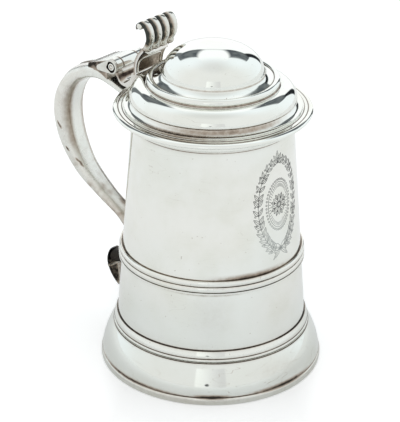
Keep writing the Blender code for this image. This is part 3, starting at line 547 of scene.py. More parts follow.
def collar_outline():
    """Ring on the barrel above the skirt: a convex band over a reed."""
    outline = []
    for step in range(COLLAR_STEPS + 1):
        share = step / COLLAR_STEPS
        proud = COLLAR_EDGE + (COLLAR_PROUD - COLLAR_EDGE) * math.sin(share * math.pi / 2.0)
        height = COLLAR_TOP - (COLLAR_TOP - REED_TOP) * share
        outline.append((barrel_radius(height) + proud + CLEARANCE, height))
    start = REED_TOP - REED_HEIGHT
    half = REED_HEIGHT / 2.0
    centre = (barrel_radius(start) + CLEARANCE + REED_FLAT, start + half)
    outline += arc(centre, (REED_PROUD - REED_FLAT, half * 0.9), 84.0, -90.0, 12)
    return outline + [(seat_radius(start), outline[-1][1]), (seat_radius(COLLAR_TOP), COLLAR_TOP)]


def girdle_outline():
    """Band of two reeds over a thin fillet around the barrel."""
    half = GIRDLE_REED / 2.0
    outline = []
    for centre in (GIRDLE_TOP - half, GIRDLE_TOP - 3.0 * half):
        middle = (barrel_radius(centre) + CLEARANCE + GIRDLE_FLAT, centre)
        outline += arc(middle, (GIRDLE_PROUD - GIRDLE_FLAT, half), 86.0, -86.0, 14)
    fillet = barrel_radius(GIRDLE_BOTTOM) + CLEARANCE + GIRDLE_FILLET_PROUD
    outline += [(fillet, GIRDLE_BOTTOM + GIRDLE_FILLET * 0.9), (fillet, GIRDLE_BOTTOM)]
    return outline + [(seat_radius(GIRDLE_BOTTOM), GIRDLE_BOTTOM), (seat_radius(GIRDLE_TOP), GIRDLE_TOP)]


def lip_outline():
    """Flared moulding around the rim: a fillet over a cove."""
    start = barrel_radius(LIP_BOTTOM) + CLEARANCE + LIP_EDGE
    cove = (RIM_HEIGHT - LIP_FILLET - LIP_BOTTOM) * 0.9
    outline = [(LIP_RADIUS, RIM_HEIGHT), (LIP_RADIUS, RIM_HEIGHT - LIP_FILLET)]
    outline += arc((LIP_RADIUS, LIP_BOTTOM), (LIP_RADIUS - start, cove), 90.0, 180.0, 14)
    return outline + [(seat_radius(LIP_BOTTOM), LIP_BOTTOM), (seat_radius(RIM_HEIGHT), RIM_HEIGHT)]


def flange_outline():
    """Lid's flange: two thin steps over a bullnose."""
    half = FLANGE_NOSE_HALF
    nose = FLANGE_RADIUS - FLANGE_NOSE
    outline = [
        (FLANGE_BORE, FLANGE_TOP),
        (FLANGE_LEDGE_RADIUS, FLANGE_TOP),
        (FLANGE_LEDGE_RADIUS + FLANGE_DRAFT, FLANGE_TOP - FLANGE_STEP_DEPTH),
        (nose - FLANGE_STEP_WIDTH * 0.4, FLANGE_TOP - FLANGE_STEP_DEPTH * 1.2),
        (nose - FLANGE_STEP_WIDTH * 0.3, FLANGE_BOTTOM + half * 2.0 - FLANGE_DRAFT),
    ]
    outline += arc((nose, FLANGE_BOTTOM + half), (FLANGE_NOSE, half), 84.0, -90.0, 20)
    return outline + [(FLANGE_BORE, FLANGE_BOTTOM)]


def dome_arc(inset, steps):
    """Quarter of the dome from its top to its foot, inset by a thickness."""
    rise = COVER_TOP - DOME_BASE - inset
    points = [(0.0, COVER_TOP - inset)]
    for step in range(1, steps + 1):
        angle = math.pi / 2.0 * (1.0 - step / steps)
        radius = (DOME_RADIUS - inset) * superellipse(math.cos(angle), DOME_SQUARENESS)
        points.append((radius, DOME_BASE + rise * superellipse(math.sin(angle), DOME_SQUARENESS)))
    return points


def dish_run(steps=14):
    """Dish from the dome's foot to the bead: a cone that turns up into the dome."""
    bead_centre = (BEAD_RADIUS - BEAD_ROLL, BEAD_TOP - BEAD_ROLL)
    radius, height = on_oval(bead_centre, (BEAD_ROLL, BEAD_ROLL), BEAD_START)
    stride = (radius - DOME_RADIUS) / steps
    points = [(radius, height)]
    for step in range(steps):
        share = (step + 0.5) / steps
        radius -= stride
        height += stride * math.tan(math.radians(DISH_SLOPE + DISH_TURN * share ** 3))
        points.append((radius, height))
    return points[::-1]


def shoulder_side():
    """Outer side of the cover's lower part: bead, groove, convex shoulder, step and cove."""
    bead_centre = (BEAD_RADIUS - BEAD_ROLL, BEAD_TOP - BEAD_ROLL)
    outline = arc(bead_centre, (BEAD_ROLL, BEAD_ROLL), BEAD_START - 6.0, -40.0, 16)
    outline.append((BEAD_RADIUS - BEAD_UNDERCUT, SHOULDER_TOP + SHOULDER_EDGE))
    run = SHOULDER_RADIUS - BEAD_RADIUS
    rise = SHOULDER_TOP - STEP_HEIGHT - SHOULDER_EDGE
    outline += arc((BEAD_RADIUS, STEP_HEIGHT + SHOULDER_EDGE), (run, rise), 88.0, 0.0, 32)
    outline.append((SHOULDER_RADIUS - SHOULDER_EDGE, STEP_HEIGHT))
    inner = SHOULDER_RADIUS - SHOULDER_UNDERCUT
    cove = (FLANGE_LEDGE_RADIUS - COVE_SETBACK - inner, STEP_HEIGHT - COVER_BOTTOM - COVE_SETBACK)
    return outline + arc((inner + cove[0], STEP_HEIGHT), cove, 184.0, 270.0, 14)


def cover_outline():
    """Domed cover with its dished ring, bead, shoulder and cove, hollow below."""
    dish = dish_run()
    outline = [point for point in dome_arc(0.0, 60) if point[1] > dish[0][1] + FILLET]
    outline += dish + shoulder_side()
    inner = SHOULDER_RADIUS - SHOULDER_UNDERCUT - WALL
    outline += [(outline[-1][0], FLANGE_TOP), (inner, FLANGE_TOP), (inner, STEP_HEIGHT)]
    neck = BEAD_RADIUS - 2.0 * WALL
    outline += arc((neck, STEP_HEIGHT), (inner - neck, SHOULDER_TOP - STEP_HEIGHT - WALL), 20.0, 86.0, 10)
    outline += [(neck, BEAD_TOP - WALL), (DOME_RADIUS - WALL, BEAD_TOP - WALL)]
    return outline + dome_arc(WALL, 20)[-2::-1]


def bezel_outline():
    """Ring below the lid that drops into the barrel's mouth."""
    return [(BEZEL_RADIUS, FLANGE_BOTTOM), (BEZEL_RADIUS - CLEARANCE, BEZEL_BOTTOM),
            (FLANGE_BORE, BEZEL_BOTTOM), (FLANGE_BORE, FLANGE_BOTTOM)]


# Grooves and joints where tarnish gathers: radius, height, width and depth of the stain
SEAM_BLOOM = 0.16
BLOOM_REACH = 4.0
THIN, BOLD, GROOVED, BROAD = 0.31 * MM, 0.54 * MM, 0.7 * MM, 2.0 * MM
SEAMS = [
    (FOOT_RADIUS - 0.9 * MM, FOOT_RIM_HEIGHT, BOLD, 0.75),
    (FOOT_RADIUS, FOOT_RIM_HEIGHT / 2.0, BROAD, 0.2),
    (SKIRT_UPPER_RADIUS + 0.2 * MM, SKIRT_TOP, THIN, 1.0),
    (LIP_RADIUS, RIM_HEIGHT, BOLD, 1.0),
    (FLANGE_RADIUS - FLANGE_NOSE - 0.3 * MM, FLANGE_TOP - 0.7 * MM, THIN, 0.9),
    (FLANGE_LEDGE_RADIUS + FLANGE_DRAFT, FLANGE_TOP - FLANGE_STEP_DEPTH, THIN, 0.9),
    (SHOULDER_RADIUS - 0.8 * MM, STEP_HEIGHT - 0.2 * MM, BOLD, 0.9),
    (BEAD_RADIUS - 0.2 * MM, SHOULDER_TOP + SHOULDER_EDGE, BOLD, 0.7),
    (*dish_run()[-1], THIN, 0.9),
    (*dish_run()[1], BOLD, 0.35),
]
# The same on the barrel's side: height, distance off the side, width and depth
for seam_height, off, seam_width, seam_depth in (
    (REED_TOP, 1.2 * MM, BOLD, 1.0),
    (COLLAR_TOP, 0.3 * MM, BOLD, 0.9),
    (GIRDLE_BOTTOM, 0.5 * MM, BOLD, 0.8),
    (GIRDLE_BOTTOM + GIRDLE_FILLET, 1.2 * MM, THIN, 0.9),
    (GIRDLE_TOP - GIRDLE_REED, 0.8 * MM, GROOVED, 1.0),
    (GIRDLE_TOP, 0.3 * MM, BOLD, 0.8),
    (LIP_BOTTOM, 0.4 * MM, BOLD, 0.9),
):
    SEAMS.append((barrel_radius(seam_height) + off, seam_height, seam_width, seam_depth))

# Darkened stretches of the rings: radius, height, width, bearing and reach in degrees, depth
DARKENED_STRETCHES = [
    (FOOT_RADIUS - 1.0 * MM, FOOT_RIM_HEIGHT + 0.3 * MM, 1.0 * MM, -96.0, 46.0, 1.0),
    (FOOT_RADIUS - 1.0 * MM, FOOT_RIM_HEIGHT + 0.3 * MM, 1.2 * MM, -49.0, 15.0, 1.0),
    (FOOT_RADIUS - 0.8 * MM, FOOT_RIM_HEIGHT + 0.4 * MM, 1.3 * MM, -8.0, 32.0, 1.0),
    (barrel_radius(GIRDLE_TOP) + 0.3 * MM, GIRDLE_TOP + 0.6 * MM, 1.5 * MM, -22.0, 50.0, 0.6),
    (barrel_radius(GIRDLE_BOTTOM) + 0.3 * MM, GIRDLE_BOTTOM - 0.5 * MM, 1.2 * MM, -55.0, 45.0, 0.45),
    (SHOULDER_RADIUS - 0.4 * MM, STEP_HEIGHT - 1.9 * MM, 2.2 * MM, -40.0, 72.0, 0.62),
    (FLANGE_LEDGE_RADIUS - 2.0 * MM, FLANGE_TOP + 0.8 * MM, 1.7 * MM, -72.0, 55.0, 0.75),
    (SKIRT_LOWER_RADIUS - 2.0 * MM, (SKIRT_BOTTOM + SKIRT_TOP) / 2.0, 8.0 * MM, -8.0, 34.0, 0.15),
    # A broad faint darkening low on the barrel, on its side towards the camera
    (barrel_radius(50.0 * MM), 50.0 * MM, 16.0 * MM, -50.0, 30.0, 0.12),
]


def seam_distance(point):
    """Distance of an outline's point from the nearest seam."""
    return min(math.hypot(point[0] - radius, point[1] - height) for radius, height, _, _ in SEAMS)


def seam_stain(point):
    """Stain at an outline's point: dark in a seam, with a faint bloom around it."""
    stain_and_shade = 0.0
    for radius, height, width, depth in SEAMS:
        span = math.hypot(point[0] - radius, point[1] - height) / width
        bloom = SEAM_BLOOM * math.exp(-(span / BLOOM_REACH) ** 2)
        stain_and_shade = max(stain_and_shade, depth * max(math.exp(-span ** 4), bloom))
    return stain_and_shade


def softened(outline):
    """Round the corners of a closed outline, each fillet limited by its two sides."""
    soft = []
    for index, place in enumerate(outline):
        corner = Vector(place)
        back = Vector(outline[index - 1]) - corner
        onward = Vector(outline[(index + 1) % len(outline)]) - corner
        turn = math.pi - back.angle(onward, math.pi)
        if corner.x <= 0.0 or turn < FILLET_TURN:
            soft.append(corner)
            continue
        cut = min(FILLET * math.tan(turn / 2.0), FILLET_LIMIT * back.length, FILLET_LIMIT * onward.length)
        start = corner + back.normalized() * cut
        end = corner + onward.normalized() * cut
        for step in range(FILLET_STEPS + 1):
            share = step / FILLET_STEPS
            soft.append(start.lerp(corner, share).lerp(corner.lerp(end, share), share))
    return soft


def refined(outline):
    """Add points to a closed outline, close together near the seams."""
    fine = []
    for index, place in enumerate(outline):
        after = outline[(index + 1) % len(outline)]
        fine.append(place)
        if place.x <= 0.0 and after.x <= 0.0:
            continue
        run = after - place
        position = 0.0
        while True:
            here = place + run.normalized() * position
            position += min(PLAIN_SPACING, max(SEAM_SPACING, seam_distance(here) - SEAM_REACH))
            if position > run.length - SEAM_SPACING / 2.0:
                break
            fine.append(place + run.normalized() * position)
    return fine


def add_piece(name, points, faces, body, finish, node=None, stain_and_shade=None, matt=None):
    """Make points and faces drawn about the barrel's axis into a piece, which may stand for a node."""
    mesh = bpy.data.meshes.new(name)
    mesh.from_pydata([(point[0] + AXIS_X, point[1], point[2]) for point in points], [], faces)
    for label, values in (("stain_and_shade", stain_and_shade), ("matt", matt)):
        if values:
            layer = mesh.attributes.new(label, "FLOAT", "POINT")
            layer.data.foreach_set("value", values)
    work = bmesh.new()
    work.from_mesh(mesh)
    bmesh.ops.recalc_face_normals(work, faces=work.faces)
    work.to_mesh(mesh)
    work.free()
    mesh.shade_smooth()
    mesh.set_sharp_from_angle(angle=SHARP_ANGLE)
    mesh.materials.append(MATERIALS[finish])
    piece = bpy.data.objects.new(name, mesh)
    bpy.context.scene.collection.objects.link(piece)
    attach(piece, body)
    if node:
        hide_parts(node)
    return piece


def upright(radius, angle, height):
    """Point of a piece that is turned about the barrel's axis."""
    return (radius * math.cos(angle), radius * math.sin(angle), height)


def around(x, z, offset=0.0):
    """Function that gives points of a piece turned about an axis across the handle's plane."""
    def place(radius, angle, across):
        return (x + radius * math.cos(angle), offset + across, z + radius * math.sin(angle))
    return place


def turn_rows(rows, segments, place):
    """Points and faces of a closed outline of (radius, height) rows that is turned about an axis."""
    points = []
    starts = []
    for row in rows:
        starts.append(len(points))
        for turn in range(segments if row[0] > 0.0 else 1):
            points.append(place(row[0], math.tau * turn / segments, row[1]))
    faces = []
    for index, row in enumerate(rows):
        after = (index + 1) % len(rows)
        if row[0] <= 0.0 and rows[after][0] <= 0.0:
            continue
        for turn in range(segments):
            following = (turn + 1) % segments
            face = []
            for spot, turns in ((index, (turn, following)), (after, (following, turn))):
                offsets = turns if rows[spot][0] > 0.0 else (0,)
                face += [starts[spot] + offset for offset in offsets]
            faces.append(face)
    return points, faces


def inside_cup(point):
    """Whether a point lies on the inside of the barrel."""
    reach = math.hypot(point[0], point[1])
    return BASE_BOTTOM < point[2] < RIM_HEIGHT - WALL / 2.0 and reach < barrel_radius(point[2]) - WALL / 2.0


def lathe(node, outline, body, finish):
    """Turn a closed outline of (radius, height) points about the barrel's axis into a piece."""
    rows = refined(softened(outline))
    points, faces = turn_rows(rows, SEGMENTS, upright)
    stain_and_shade = []
    for row in rows:
        seam = seam_stain(row)
        spots = [patch for patch in DARKENED_STRETCHES if math.hypot(row.x - patch[0], row.y - patch[1]) < 2.0 * patch[2]]
        for turn in range(SEGMENTS if row.x > 0.0 else 1):
            darkening = seam
            for radius, height, width, bearing, reach, depth in spots:
                span = math.hypot(row.x - radius, row.y - height) / width
                away = abs((360.0 * turn / SEGMENTS - bearing + 180.0) % 360.0 - 180.0)
                darkening = max(darkening, depth * math.exp(-span * span) * hump(away, 0.0, reach))
            stain_and_shade.append(darkening)
    matt = [float(inside_cup(point)) for point in points]
    add_piece(node + "_fine", points, faces, body, finish, node, stain_and_shade, matt)


def hinge_lathe(node, outline, body, finish, darkening):
    """Turn a closed outline of (radius, across) points about the hinge's axis into a piece.

    The stain comes from a function of the radius, the distance across and the rise above the axis.
    """
    points, faces = turn_rows(softened(outline), HINGE_SEGMENTS, around(HINGE_X, HINGE_Z))
    stain_and_shade = [darkening(math.hypot(x - HINGE_X, z - HINGE_Z), across, z - HINGE_Z) for x, across, z in points]
    add_piece(node + "_fine", points, faces, body, finish, node, stain_and_shade)


def skin_rings(rings, closed=False):
    """Points and faces of a run of equal closed rings, with its ends capped or joined to each other."""
    count = len(rings[0])
    points = [tuple(point) for ring in rings for point in ring]
    faces = []
    for row in range(len(rings) if closed else len(rings) - 1):
        low, high = row * count, (row + 1) % len(rings) * count
        for index in range(count):
            after = (index + 1) % count
            faces.append((low + index, low + after, high + after, high + index))
    if not closed:
        faces += [tuple(range(count)), tuple(range(len(points) - count, len(points)))]
    return points, faces


def add_skin(node, rings, body, finish, stain_and_shade, closed=False):
    """Make a run of rings into the piece that stands for a node."""
    return add_piece(node + "_fine", *skin_rings(rings, closed), body, finish, node, stain_and_shade)


def merged(parts):
    """Points and faces of several parts as those of one."""
    points = []
    faces = []
    for new_points, new_faces in parts:
        start = len(points)
        points += new_points
        faces += [[start + index for index in face] for face in new_faces]
    return points, faces


def smooth_route(knots, steps):
    """Catmull-Rom curve through knots of any number of values, with a few steps to each span."""
    before = [2.0 * a - b for a, b in zip(knots[0], knots[1])]
    after = [2.0 * a - b for a, b in zip(knots[-1], knots[-2])]
    padded = [before, *knots, after]
    route = []
    for span in range(len(knots) - 1):
        quads = list(zip(*padded[span:span + 4]))
        for step in range(steps):
            t = step / steps
            route.append([0.5 * (2.0 * b + (c - a) * t + (2.0 * a - 5.0 * b + 4.0 * c - d) * t * t
                                 + (3.0 * b - a - 3.0 * c + d) * t ** 3) for a, b, c, d in quads])
    route.append(list(knots[-1]))
    return route


def direction_at(route, index):
    """Unit direction of a route of (x, height, ...) points at one of them."""
    before = route[max(index - 1, 0)]
    after = route[min(index + 1, len(route) - 1)]
    return Vector((after[0] - before[0], after[1] - before[1])).normalized()


def handle_stations(steps):
    """Sections along the handle: point on the strap's face, outward direction, depth, width, squareness."""
    knots = []
    for out, height, depth, width, power in HANDLE_KNOTS:
        side = barrel_radius(RIM_HEIGHT * height)
        x = -(side + (HANDLE_BOW - side) * out)
        knots.append((x, RIM_HEIGHT * height, HANDLE_DEPTH * depth, HANDLE_WIDTH * width, power))
    route = smooth_route(knots, steps)
    stations = []
    for index, (x, z, depth, width, power) in enumerate(route):
        run = direction_at(route, index)
        stations.append((Vector((x, 0.0, z)), Vector((run.y, 0.0, -run.x)), depth, width, power))
    return stations


def upper_run(steps):
    """Stations of the handle from the rim to the top of the bow."""
    stations = handle_stations(steps)
    return stations[:len(stations) // 2]


def spine_point(station, lift=0.0):
    """Outermost point of the shell at a station, lifted off it by a distance."""
    point, outward, depth, _, _ = station
    return point + outward * (depth + lift)


def off_bore(point):
    """A point kept out of the cup, at the middle of the barrel's wall or beyond it."""
    wall = barrel_radius(point.z) - WALL / 2.0
    share = max(1.0, wall / math.hypot(point.x, point.y))
    return Vector((point.x * share, point.y * share, point.z))


def shell_section(station, inset, edge):
    """Points of the shell's section from one edge of the strap round the outside to the other."""
    point, outward, depth, width, power = station
    half = width / 2.0 - inset
    rise = depth / 2.0 - inset
    start = math.acos((edge / half) ** (power / 2.0))
    ring = []
    for step in range(SHELL_STEPS + 1):
        angle = -start + (math.pi + 2.0 * start) * step / SHELL_STEPS
        across = half * superellipse(math.cos(angle), power)
        out = depth / 2.0 + rise * superellipse(math.sin(angle), power)
        ring.append(off_bore(point + outward * out + Vector((0.0, across, 0.0))))
    return ring


def strap_section(station, edge):
    """Points of the strap's section: a crowned strip let in between the shell's edges."""
    point, outward, _, _, _ = station
    face = []
    back = []
    for step in range(STRAP_STEPS + 1):
        side = 2.0 * step / STRAP_STEPS - 1.0
        across = Vector((0.0, side * edge, 0.0))
        sunk = STRAP_RECESS - STRAP_CROWN * (1.0 - side * side)
        face.append(off_bore(point + outward * sunk + across))
        back.append(off_bore(point + outward * (STRAP_RECESS + HANDLE_SHEET) + across))
    return face + back[::-1]


def mottled(point):
    """Patchy tarnish at a point of the handle."""
    return max(0.0, mathutils.noise.noise(point / MOTTLE_SIZE))


def edging(step, steps, reach):
    """One at both edges of a strip, falling to nought within a number of steps."""
    return clamp(1.0 - min(step, steps - step) / reach) ** EDGING_POWER


def handle_stains_and_shade(along, shell, strap):
    """Stains over the shell's outside and the strap's face at a share of the handle's length, with painted
    shade in the creases and, near the terminal, its painted dark reflection.
    """
    dark_reflection = rising(along, *DARK_REFLECTION_TAIL)
    darkening = max(SOIL + LOWER_SOIL * rising(along, *LOWER_SOIL_RUN), dark_reflection)
    crease_shade = CREASE_SHADE + BOW_CREASE_SHADE * hump(along, BOW_PLACE, BOW_REACH)
    depth = MOTTLE + LOWER_MOTTLE * rising(along, *LOWER_MOTTLE_RUN)
    marks = [mark for mark in HANDLE_MARKS if abs(along - mark[0]) < MARK_REACH / 2.0]
    outside = []
    for step, point in enumerate(shell):
        patch = mottled(point) * depth
        marked = [mark[2] for mark in marks if abs(step / SHELL_STEPS - mark[1]) < 2.0 * MARK_REACH]
        edge = (crease_shade + patch) * edging(step, SHELL_STEPS, SHELL_EDGING)
        outside.append(max([darkening + patch, edge, *marked]))
    lower = rising(along, *STRAP_RUN)
    face = []
    for step, point in enumerate(strap):
        patch = (STRAP_SOIL + STRAP_MOTTLE * mottled(point)) * lower
        line = STRAP_LINE * lower if step == STRAP_STEPS else 0.0
        face.append(max(dark_reflection, crease_shade * edging(step, STRAP_STEPS, STRAP_EDGING), patch, line))
    return outside, face


def make_handle():
    """Hollow scroll handle: an outer shell of C section and the strap that closes it."""
    stations = handle_stations(HANDLE_STEPS)
    shell, shell_stain_and_shade = [], []
    strap, strap_stain_and_shade = [], []
    for index, station in enumerate(stations):
        edge = STRAP_SHARE * station[3] / 2.0
        outer = shell_section(station, 0.0, edge)
        shell.append(outer + shell_section(station, HANDLE_SHEET, edge)[::-1])
        strap.append(strap_section(station, edge))
        outside, face = handle_stains_and_shade(index / (len(stations) - 1), outer, strap[-1][:STRAP_STEPS + 1])
        shell_stain_and_shade += outside + outside[::-1]
        strap_stain_and_shade += face + face[::-1]
    add_skin("handle_shell", shell, "body", "satin_silver", shell_stain_and_shade)
    add_skin("handle_strap", strap, "body", "satin_silver", strap_stain_and_shade)


def shield_half_width(share):
    """Half the shield's width at a share of its height: a pointed foot, full above, a round top."""
    if share < TERMINAL_FULLEST:
        return TERMINAL_HALF_WIDTH * (1.0 - (1.0 - share / TERMINAL_FULLEST) ** TERMINAL_POINT)
    past = (share - TERMINAL_FULLEST) / TERMINAL_TOP_SHARE
    return TERMINAL_HALF_WIDTH * math.sqrt(max(0.0, 1.0 - past ** 2))


def make_terminal():
    """Shield across the handle's end, with a ridge down the middle of both faces and a thin edge. Its stain
    paints a dark reflection, darker on the near half, with painted highlights along the ridge, across the
    ledge and at the foot.
    """
    station = handle_stations(HANDLE_STEPS)[-1]
    outward = station[1]
    run = Vector((-outward.z, 0.0, outward.x))
    foot = spine_point(station, TERMINAL_TOP_MARGIN - TERMINAL_HEIGHT)
    middle = foot + run * (CLEARANCE + TERMINAL_THICKNESS / 2.0)
    rings = []
    stain_and_shade = []
    for row in range(1, TERMINAL_ROWS + 1):
        share = row / (TERMINAL_ROWS + 0.4)
        half = max(shield_half_width(share), TERMINAL_LEAST)
        ledge = hump(share, TERMINAL_LEDGE, TERMINAL_LEDGE_BAND)
        lean = run * (TERMINAL_LEAN * (1.0 - share))
        front = []
        back = []
        reflection_levels = []
        for column in range(TERMINAL_COLUMNS + 1):
            side = 2.0 * column / TERMINAL_COLUMNS - 1.0
            ridge = (1.0 - abs(side)) ** TERMINAL_RIDGE_POWER * half / TERMINAL_HALF_WIDTH
            relief = TERMINAL_EDGE + TERMINAL_RIDGE * ridge + TERMINAL_STEP * ledge
            thick = TERMINAL_THICKNESS / 2.0 * relief
            place = middle + lean + outward * (share * TERMINAL_HEIGHT) + Vector((0.0, side * half, 0.0))
            front.append(place + run * thick)
            back.append(place - run * thick)
            crest_highlight = TERMINAL_CREST_HIGHLIGHT * hump(side, 0.0, TERMINAL_CREST_REACH)
            pale = max(ledge, crest_highlight, rising(-share, *TERMINAL_FOOT_HIGHLIGHT))
            shade = TERMINAL_NEAR_REFLECTION if side < 0.0 else TERMINAL_FAR_REFLECTION
            below = share < TERMINAL_LEDGE + TERMINAL_LEDGE_BAND
            reflection_levels.append(shade * (1.0 - TERMINAL_HIGHLIGHT_CLEARS * pale) if below else TERMINAL_ABOVE_REFLECTION)
        rings.append(front + back[::-1])
        stain_and_shade += reflection_levels + reflection_levels[::-1]
    add_skin("handle_terminal", rings, "body", "black_silver", stain_and_shade)


def make_hinge_plate():
    """Plate on the handle's top: it follows the spine, wraps the knuckles and has a ruled rear edge."""
    front = HINGE_X - KNUCKLE_RADIUS
    spine = [spine_point(station, -CLEARANCE) for station in upper_run(HANDLE_STEPS)]
    seat = [(point.x, point.z) for point in spine if PLATE_REAR < point.x < front]
    wrap = arc((HINGE_X, HINGE_Z), (KNUCKLE_RADIUS + CLEARANCE,) * 2, 205.0, 150.0, 10)
    rear_x, rear_z = seat[-1]
    top = Vector((wrap[-1][0] - PLATE_BEVEL, wrap[-1][1]))
    rear = Vector((rear_x + PLATE_BEVEL / 2.0, rear_z + PLATE_THICKNESS))
    run = (rear - top).normalized()
    down = Vector((-run.y, run.x))
    outline = seat[::-1] + wrap + [tuple(top)]
    # Along the outline: painted shadow where the plate sits on the spine, a lighter stain round the knuckles,
    # none on top, then the ruled lines and the dark rear edge
    tarnish_and_shade = [0.45] * len(seat) + [0.3] * len(wrap) + [0.0]
    for line in PLATE_LINES:
        for offset, depth, level in LINE_PROFILE:
            outline.append(tuple(rear - run * (line + offset * MM) + down * depth * MM))
            tarnish_and_shade.append(level)
    outline += [tuple(rear), (rear_x, rear_z + PLATE_THICKNESS / 2.0)]
    tarnish_and_shade += [0.7, 1.0]
    rings = []
    stain_and_shade = []
    for across, edge in PLATE_SECTIONS:
        rings.append([(x, across * PLATE_HALF_WIDTH, z) for x, z in outline])
        stain_and_shade += [max(level, edge) for level in tarnish_and_shade]
    add_skin("hinge_plate", rings, "body", "satin_silver", stain_and_shade)


def make_hinge_drop():
    """Tapering drop along the handle's spine behind the hinge plate."""
    front = PLATE_REAR - CLEARANCE
    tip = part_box("hinge_drop")[0].x - AXIS_X
    half_width = spread("hinge_drop")
    ridge = [station for station in upper_run(4 * HANDLE_STEPS) if tip < spine_point(station).x < front]
    sides = [2.0 * step / DROP_STEPS - 1.0 for step in range(DROP_STEPS + 1)]
    rings = []
    for index, station in enumerate(ridge):
        share = index / (len(ridge) - 1)
        swell = math.sqrt(1.0 - 0.985 * share ** 2) * (1.0 - 0.25 * math.sin(math.pi * share))
        ring = []
        for side in sides:
            lift = DROP_HEIGHT * swell * math.sqrt(1.0 - side ** 2) - CLEARANCE
            ring.append(spine_point(station, lift) + Vector((0.0, side * half_width * swell, 0.0)))
        rings.append(ring)
    border = [clamp(1.6 * abs(side) - 0.8) for side in sides]
    add_skin("hinge_drop", rings, "body", "satin_silver", border * len(rings))


def teardrop_edge(grow):
    """Outline of a cheek about the hinge's axis: a round end with a tail along the handle."""
    axis = Vector((HINGE_X, HINGE_Z))
    tail = Vector((-CHEEK_TAIL_LENGTH, -CHEEK_TAIL_FALL))
    heading = math.degrees(math.atan2(tail.y, tail.x))
    lean = math.degrees(math.acos((KNUCKLE_RADIUS - CHEEK_TAIL_RADIUS) / tail.length))
    head = KNUCKLE_RADIUS + grow
    tip = CHEEK_TAIL_RADIUS + grow
    edge = arc(axis, (head, head), heading + lean, heading + 360.0 - lean, 40)
    return edge + arc(axis + tail, (tip, tip), heading - lean, heading + lean, 12)


def make_cheek(label, side):
    """Teardrop cheek with a rounded edge and the recess around the pin's head."""
    outer = side * HINGE_HALF_WIDTH
    inner = side * CHEEK_INNER
    rings = [[(x, inner, z) for x, z in teardrop_edge(0.0)]]
    for share, inset in CHEEK_ROUNDING:
        rings.append([(x, outer - side * CHEEK_SOFT * share, z) for x, z in teardrop_edge(-inset)])
    for across, radius in ((outer, CHEEK_BORE + CHEEK_CHAMFER), (outer - side * CHEEK_CHAMFER, CHEEK_BORE),
                           (inner, CHEEK_BORE)):
        ring = []
        for x, z in teardrop_edge(0.0):
            away = Vector((x - HINGE_X, z - HINGE_Z)).normalized() * radius
            ring.append((HINGE_X + away.x, across, HINGE_Z + away.y))
        rings.append(ring)
    stain_and_shade = [level for level in CHEEK_STAINS for _ in rings[0]]
    add_skin("hinge_cheek_" + label, rings, "body", "satin_silver", stain_and_shade, closed=True)


def make_knuckle(node, low, high, body):
    """Tube between two ends on the hinge's axis, with painted shade below and dark at its ends."""
    bore = PIN_RADIUS + CLEARANCE / 2.0

    def darkening(_radius, across, rise):
        edge = clamp(1.0 - min(across - low, high - across) / KNUCKLE_JOINT)
        shaded_below = clamp(KNUCKLE_LEVEL_SHADE - KNUCKLE_SHADE_BELOW * rise / KNUCKLE_RADIUS)
        return max(shaded_below, KNUCKLE_END_STAIN * edge)

    side = [(KNUCKLE_RADIUS, across) for across in (low, low + KNUCKLE_JOINT, high - KNUCKLE_JOINT, high)]
    hinge_lathe(node, side + [(bore, high), (bore, low)], body, "hinge_silver", darkening)


def pin_outline():
    """Riveted pin with a low domed head and a centre dot at both ends."""
    end = HINGE_HALF_WIDTH - CLEARANCE
    head = PIN_RADIUS + PIN_HEAD_PROUD
    half = [(0.0, end - 0.35 * MM), (PIN_DOT, end - 0.1 * MM), (PIN_RING, end)]
    half += [(head - 0.3 * MM, end - 0.05 * MM), (head, end - 0.6 * MM)]
    half += [(head, CHEEK_INNER), (PIN_RADIUS, CHEEK_INNER)]
    return half + [(radius, -across) for radius, across in reversed(half)]


def make_hinge():
    """Handle's two knuckles and cheeks, the lid's knuckle between them and the riveted pin."""
    for label, side in (("near", -1.0), ("far", 1.0)):
        ends = sorted((side * (LID_KNUCKLE_HALF_WIDTH + CLEARANCE * 0.7), side * CHEEK_INNER))
        make_knuckle("handle_knuckle_" + label, *ends, "body")
        make_cheek(label, side)
    make_knuckle("lid_knuckle", -LID_KNUCKLE_HALF_WIDTH, LID_KNUCKLE_HALF_WIDTH, "lid")

    def ring_round_dot(radius, _across, _rise):
        return 0.6 * hump(radius, PIN_RING, PIN_DOT)

    hinge_lathe("hinge_pin", pin_outline(), "body", "polished_silver", ring_round_dot)


def lid_radius(height):
    """Radius of the lid's outer side at a height below the top of its shoulder."""
    reach = FLANGE_RADIUS - FLANGE_NOSE if height < FLANGE_TOP else 0.0
    side = shoulder_side()
    for (radius, level), (next_radius, next_level) in zip(side, side[1:]):
        if min(level, next_level) <= height <= max(level, next_level):
            share = (height - level) / (next_level - level) if next_level != level else 0.0
            reach = max(reach, radius + (next_radius - radius) * share)
    return reach


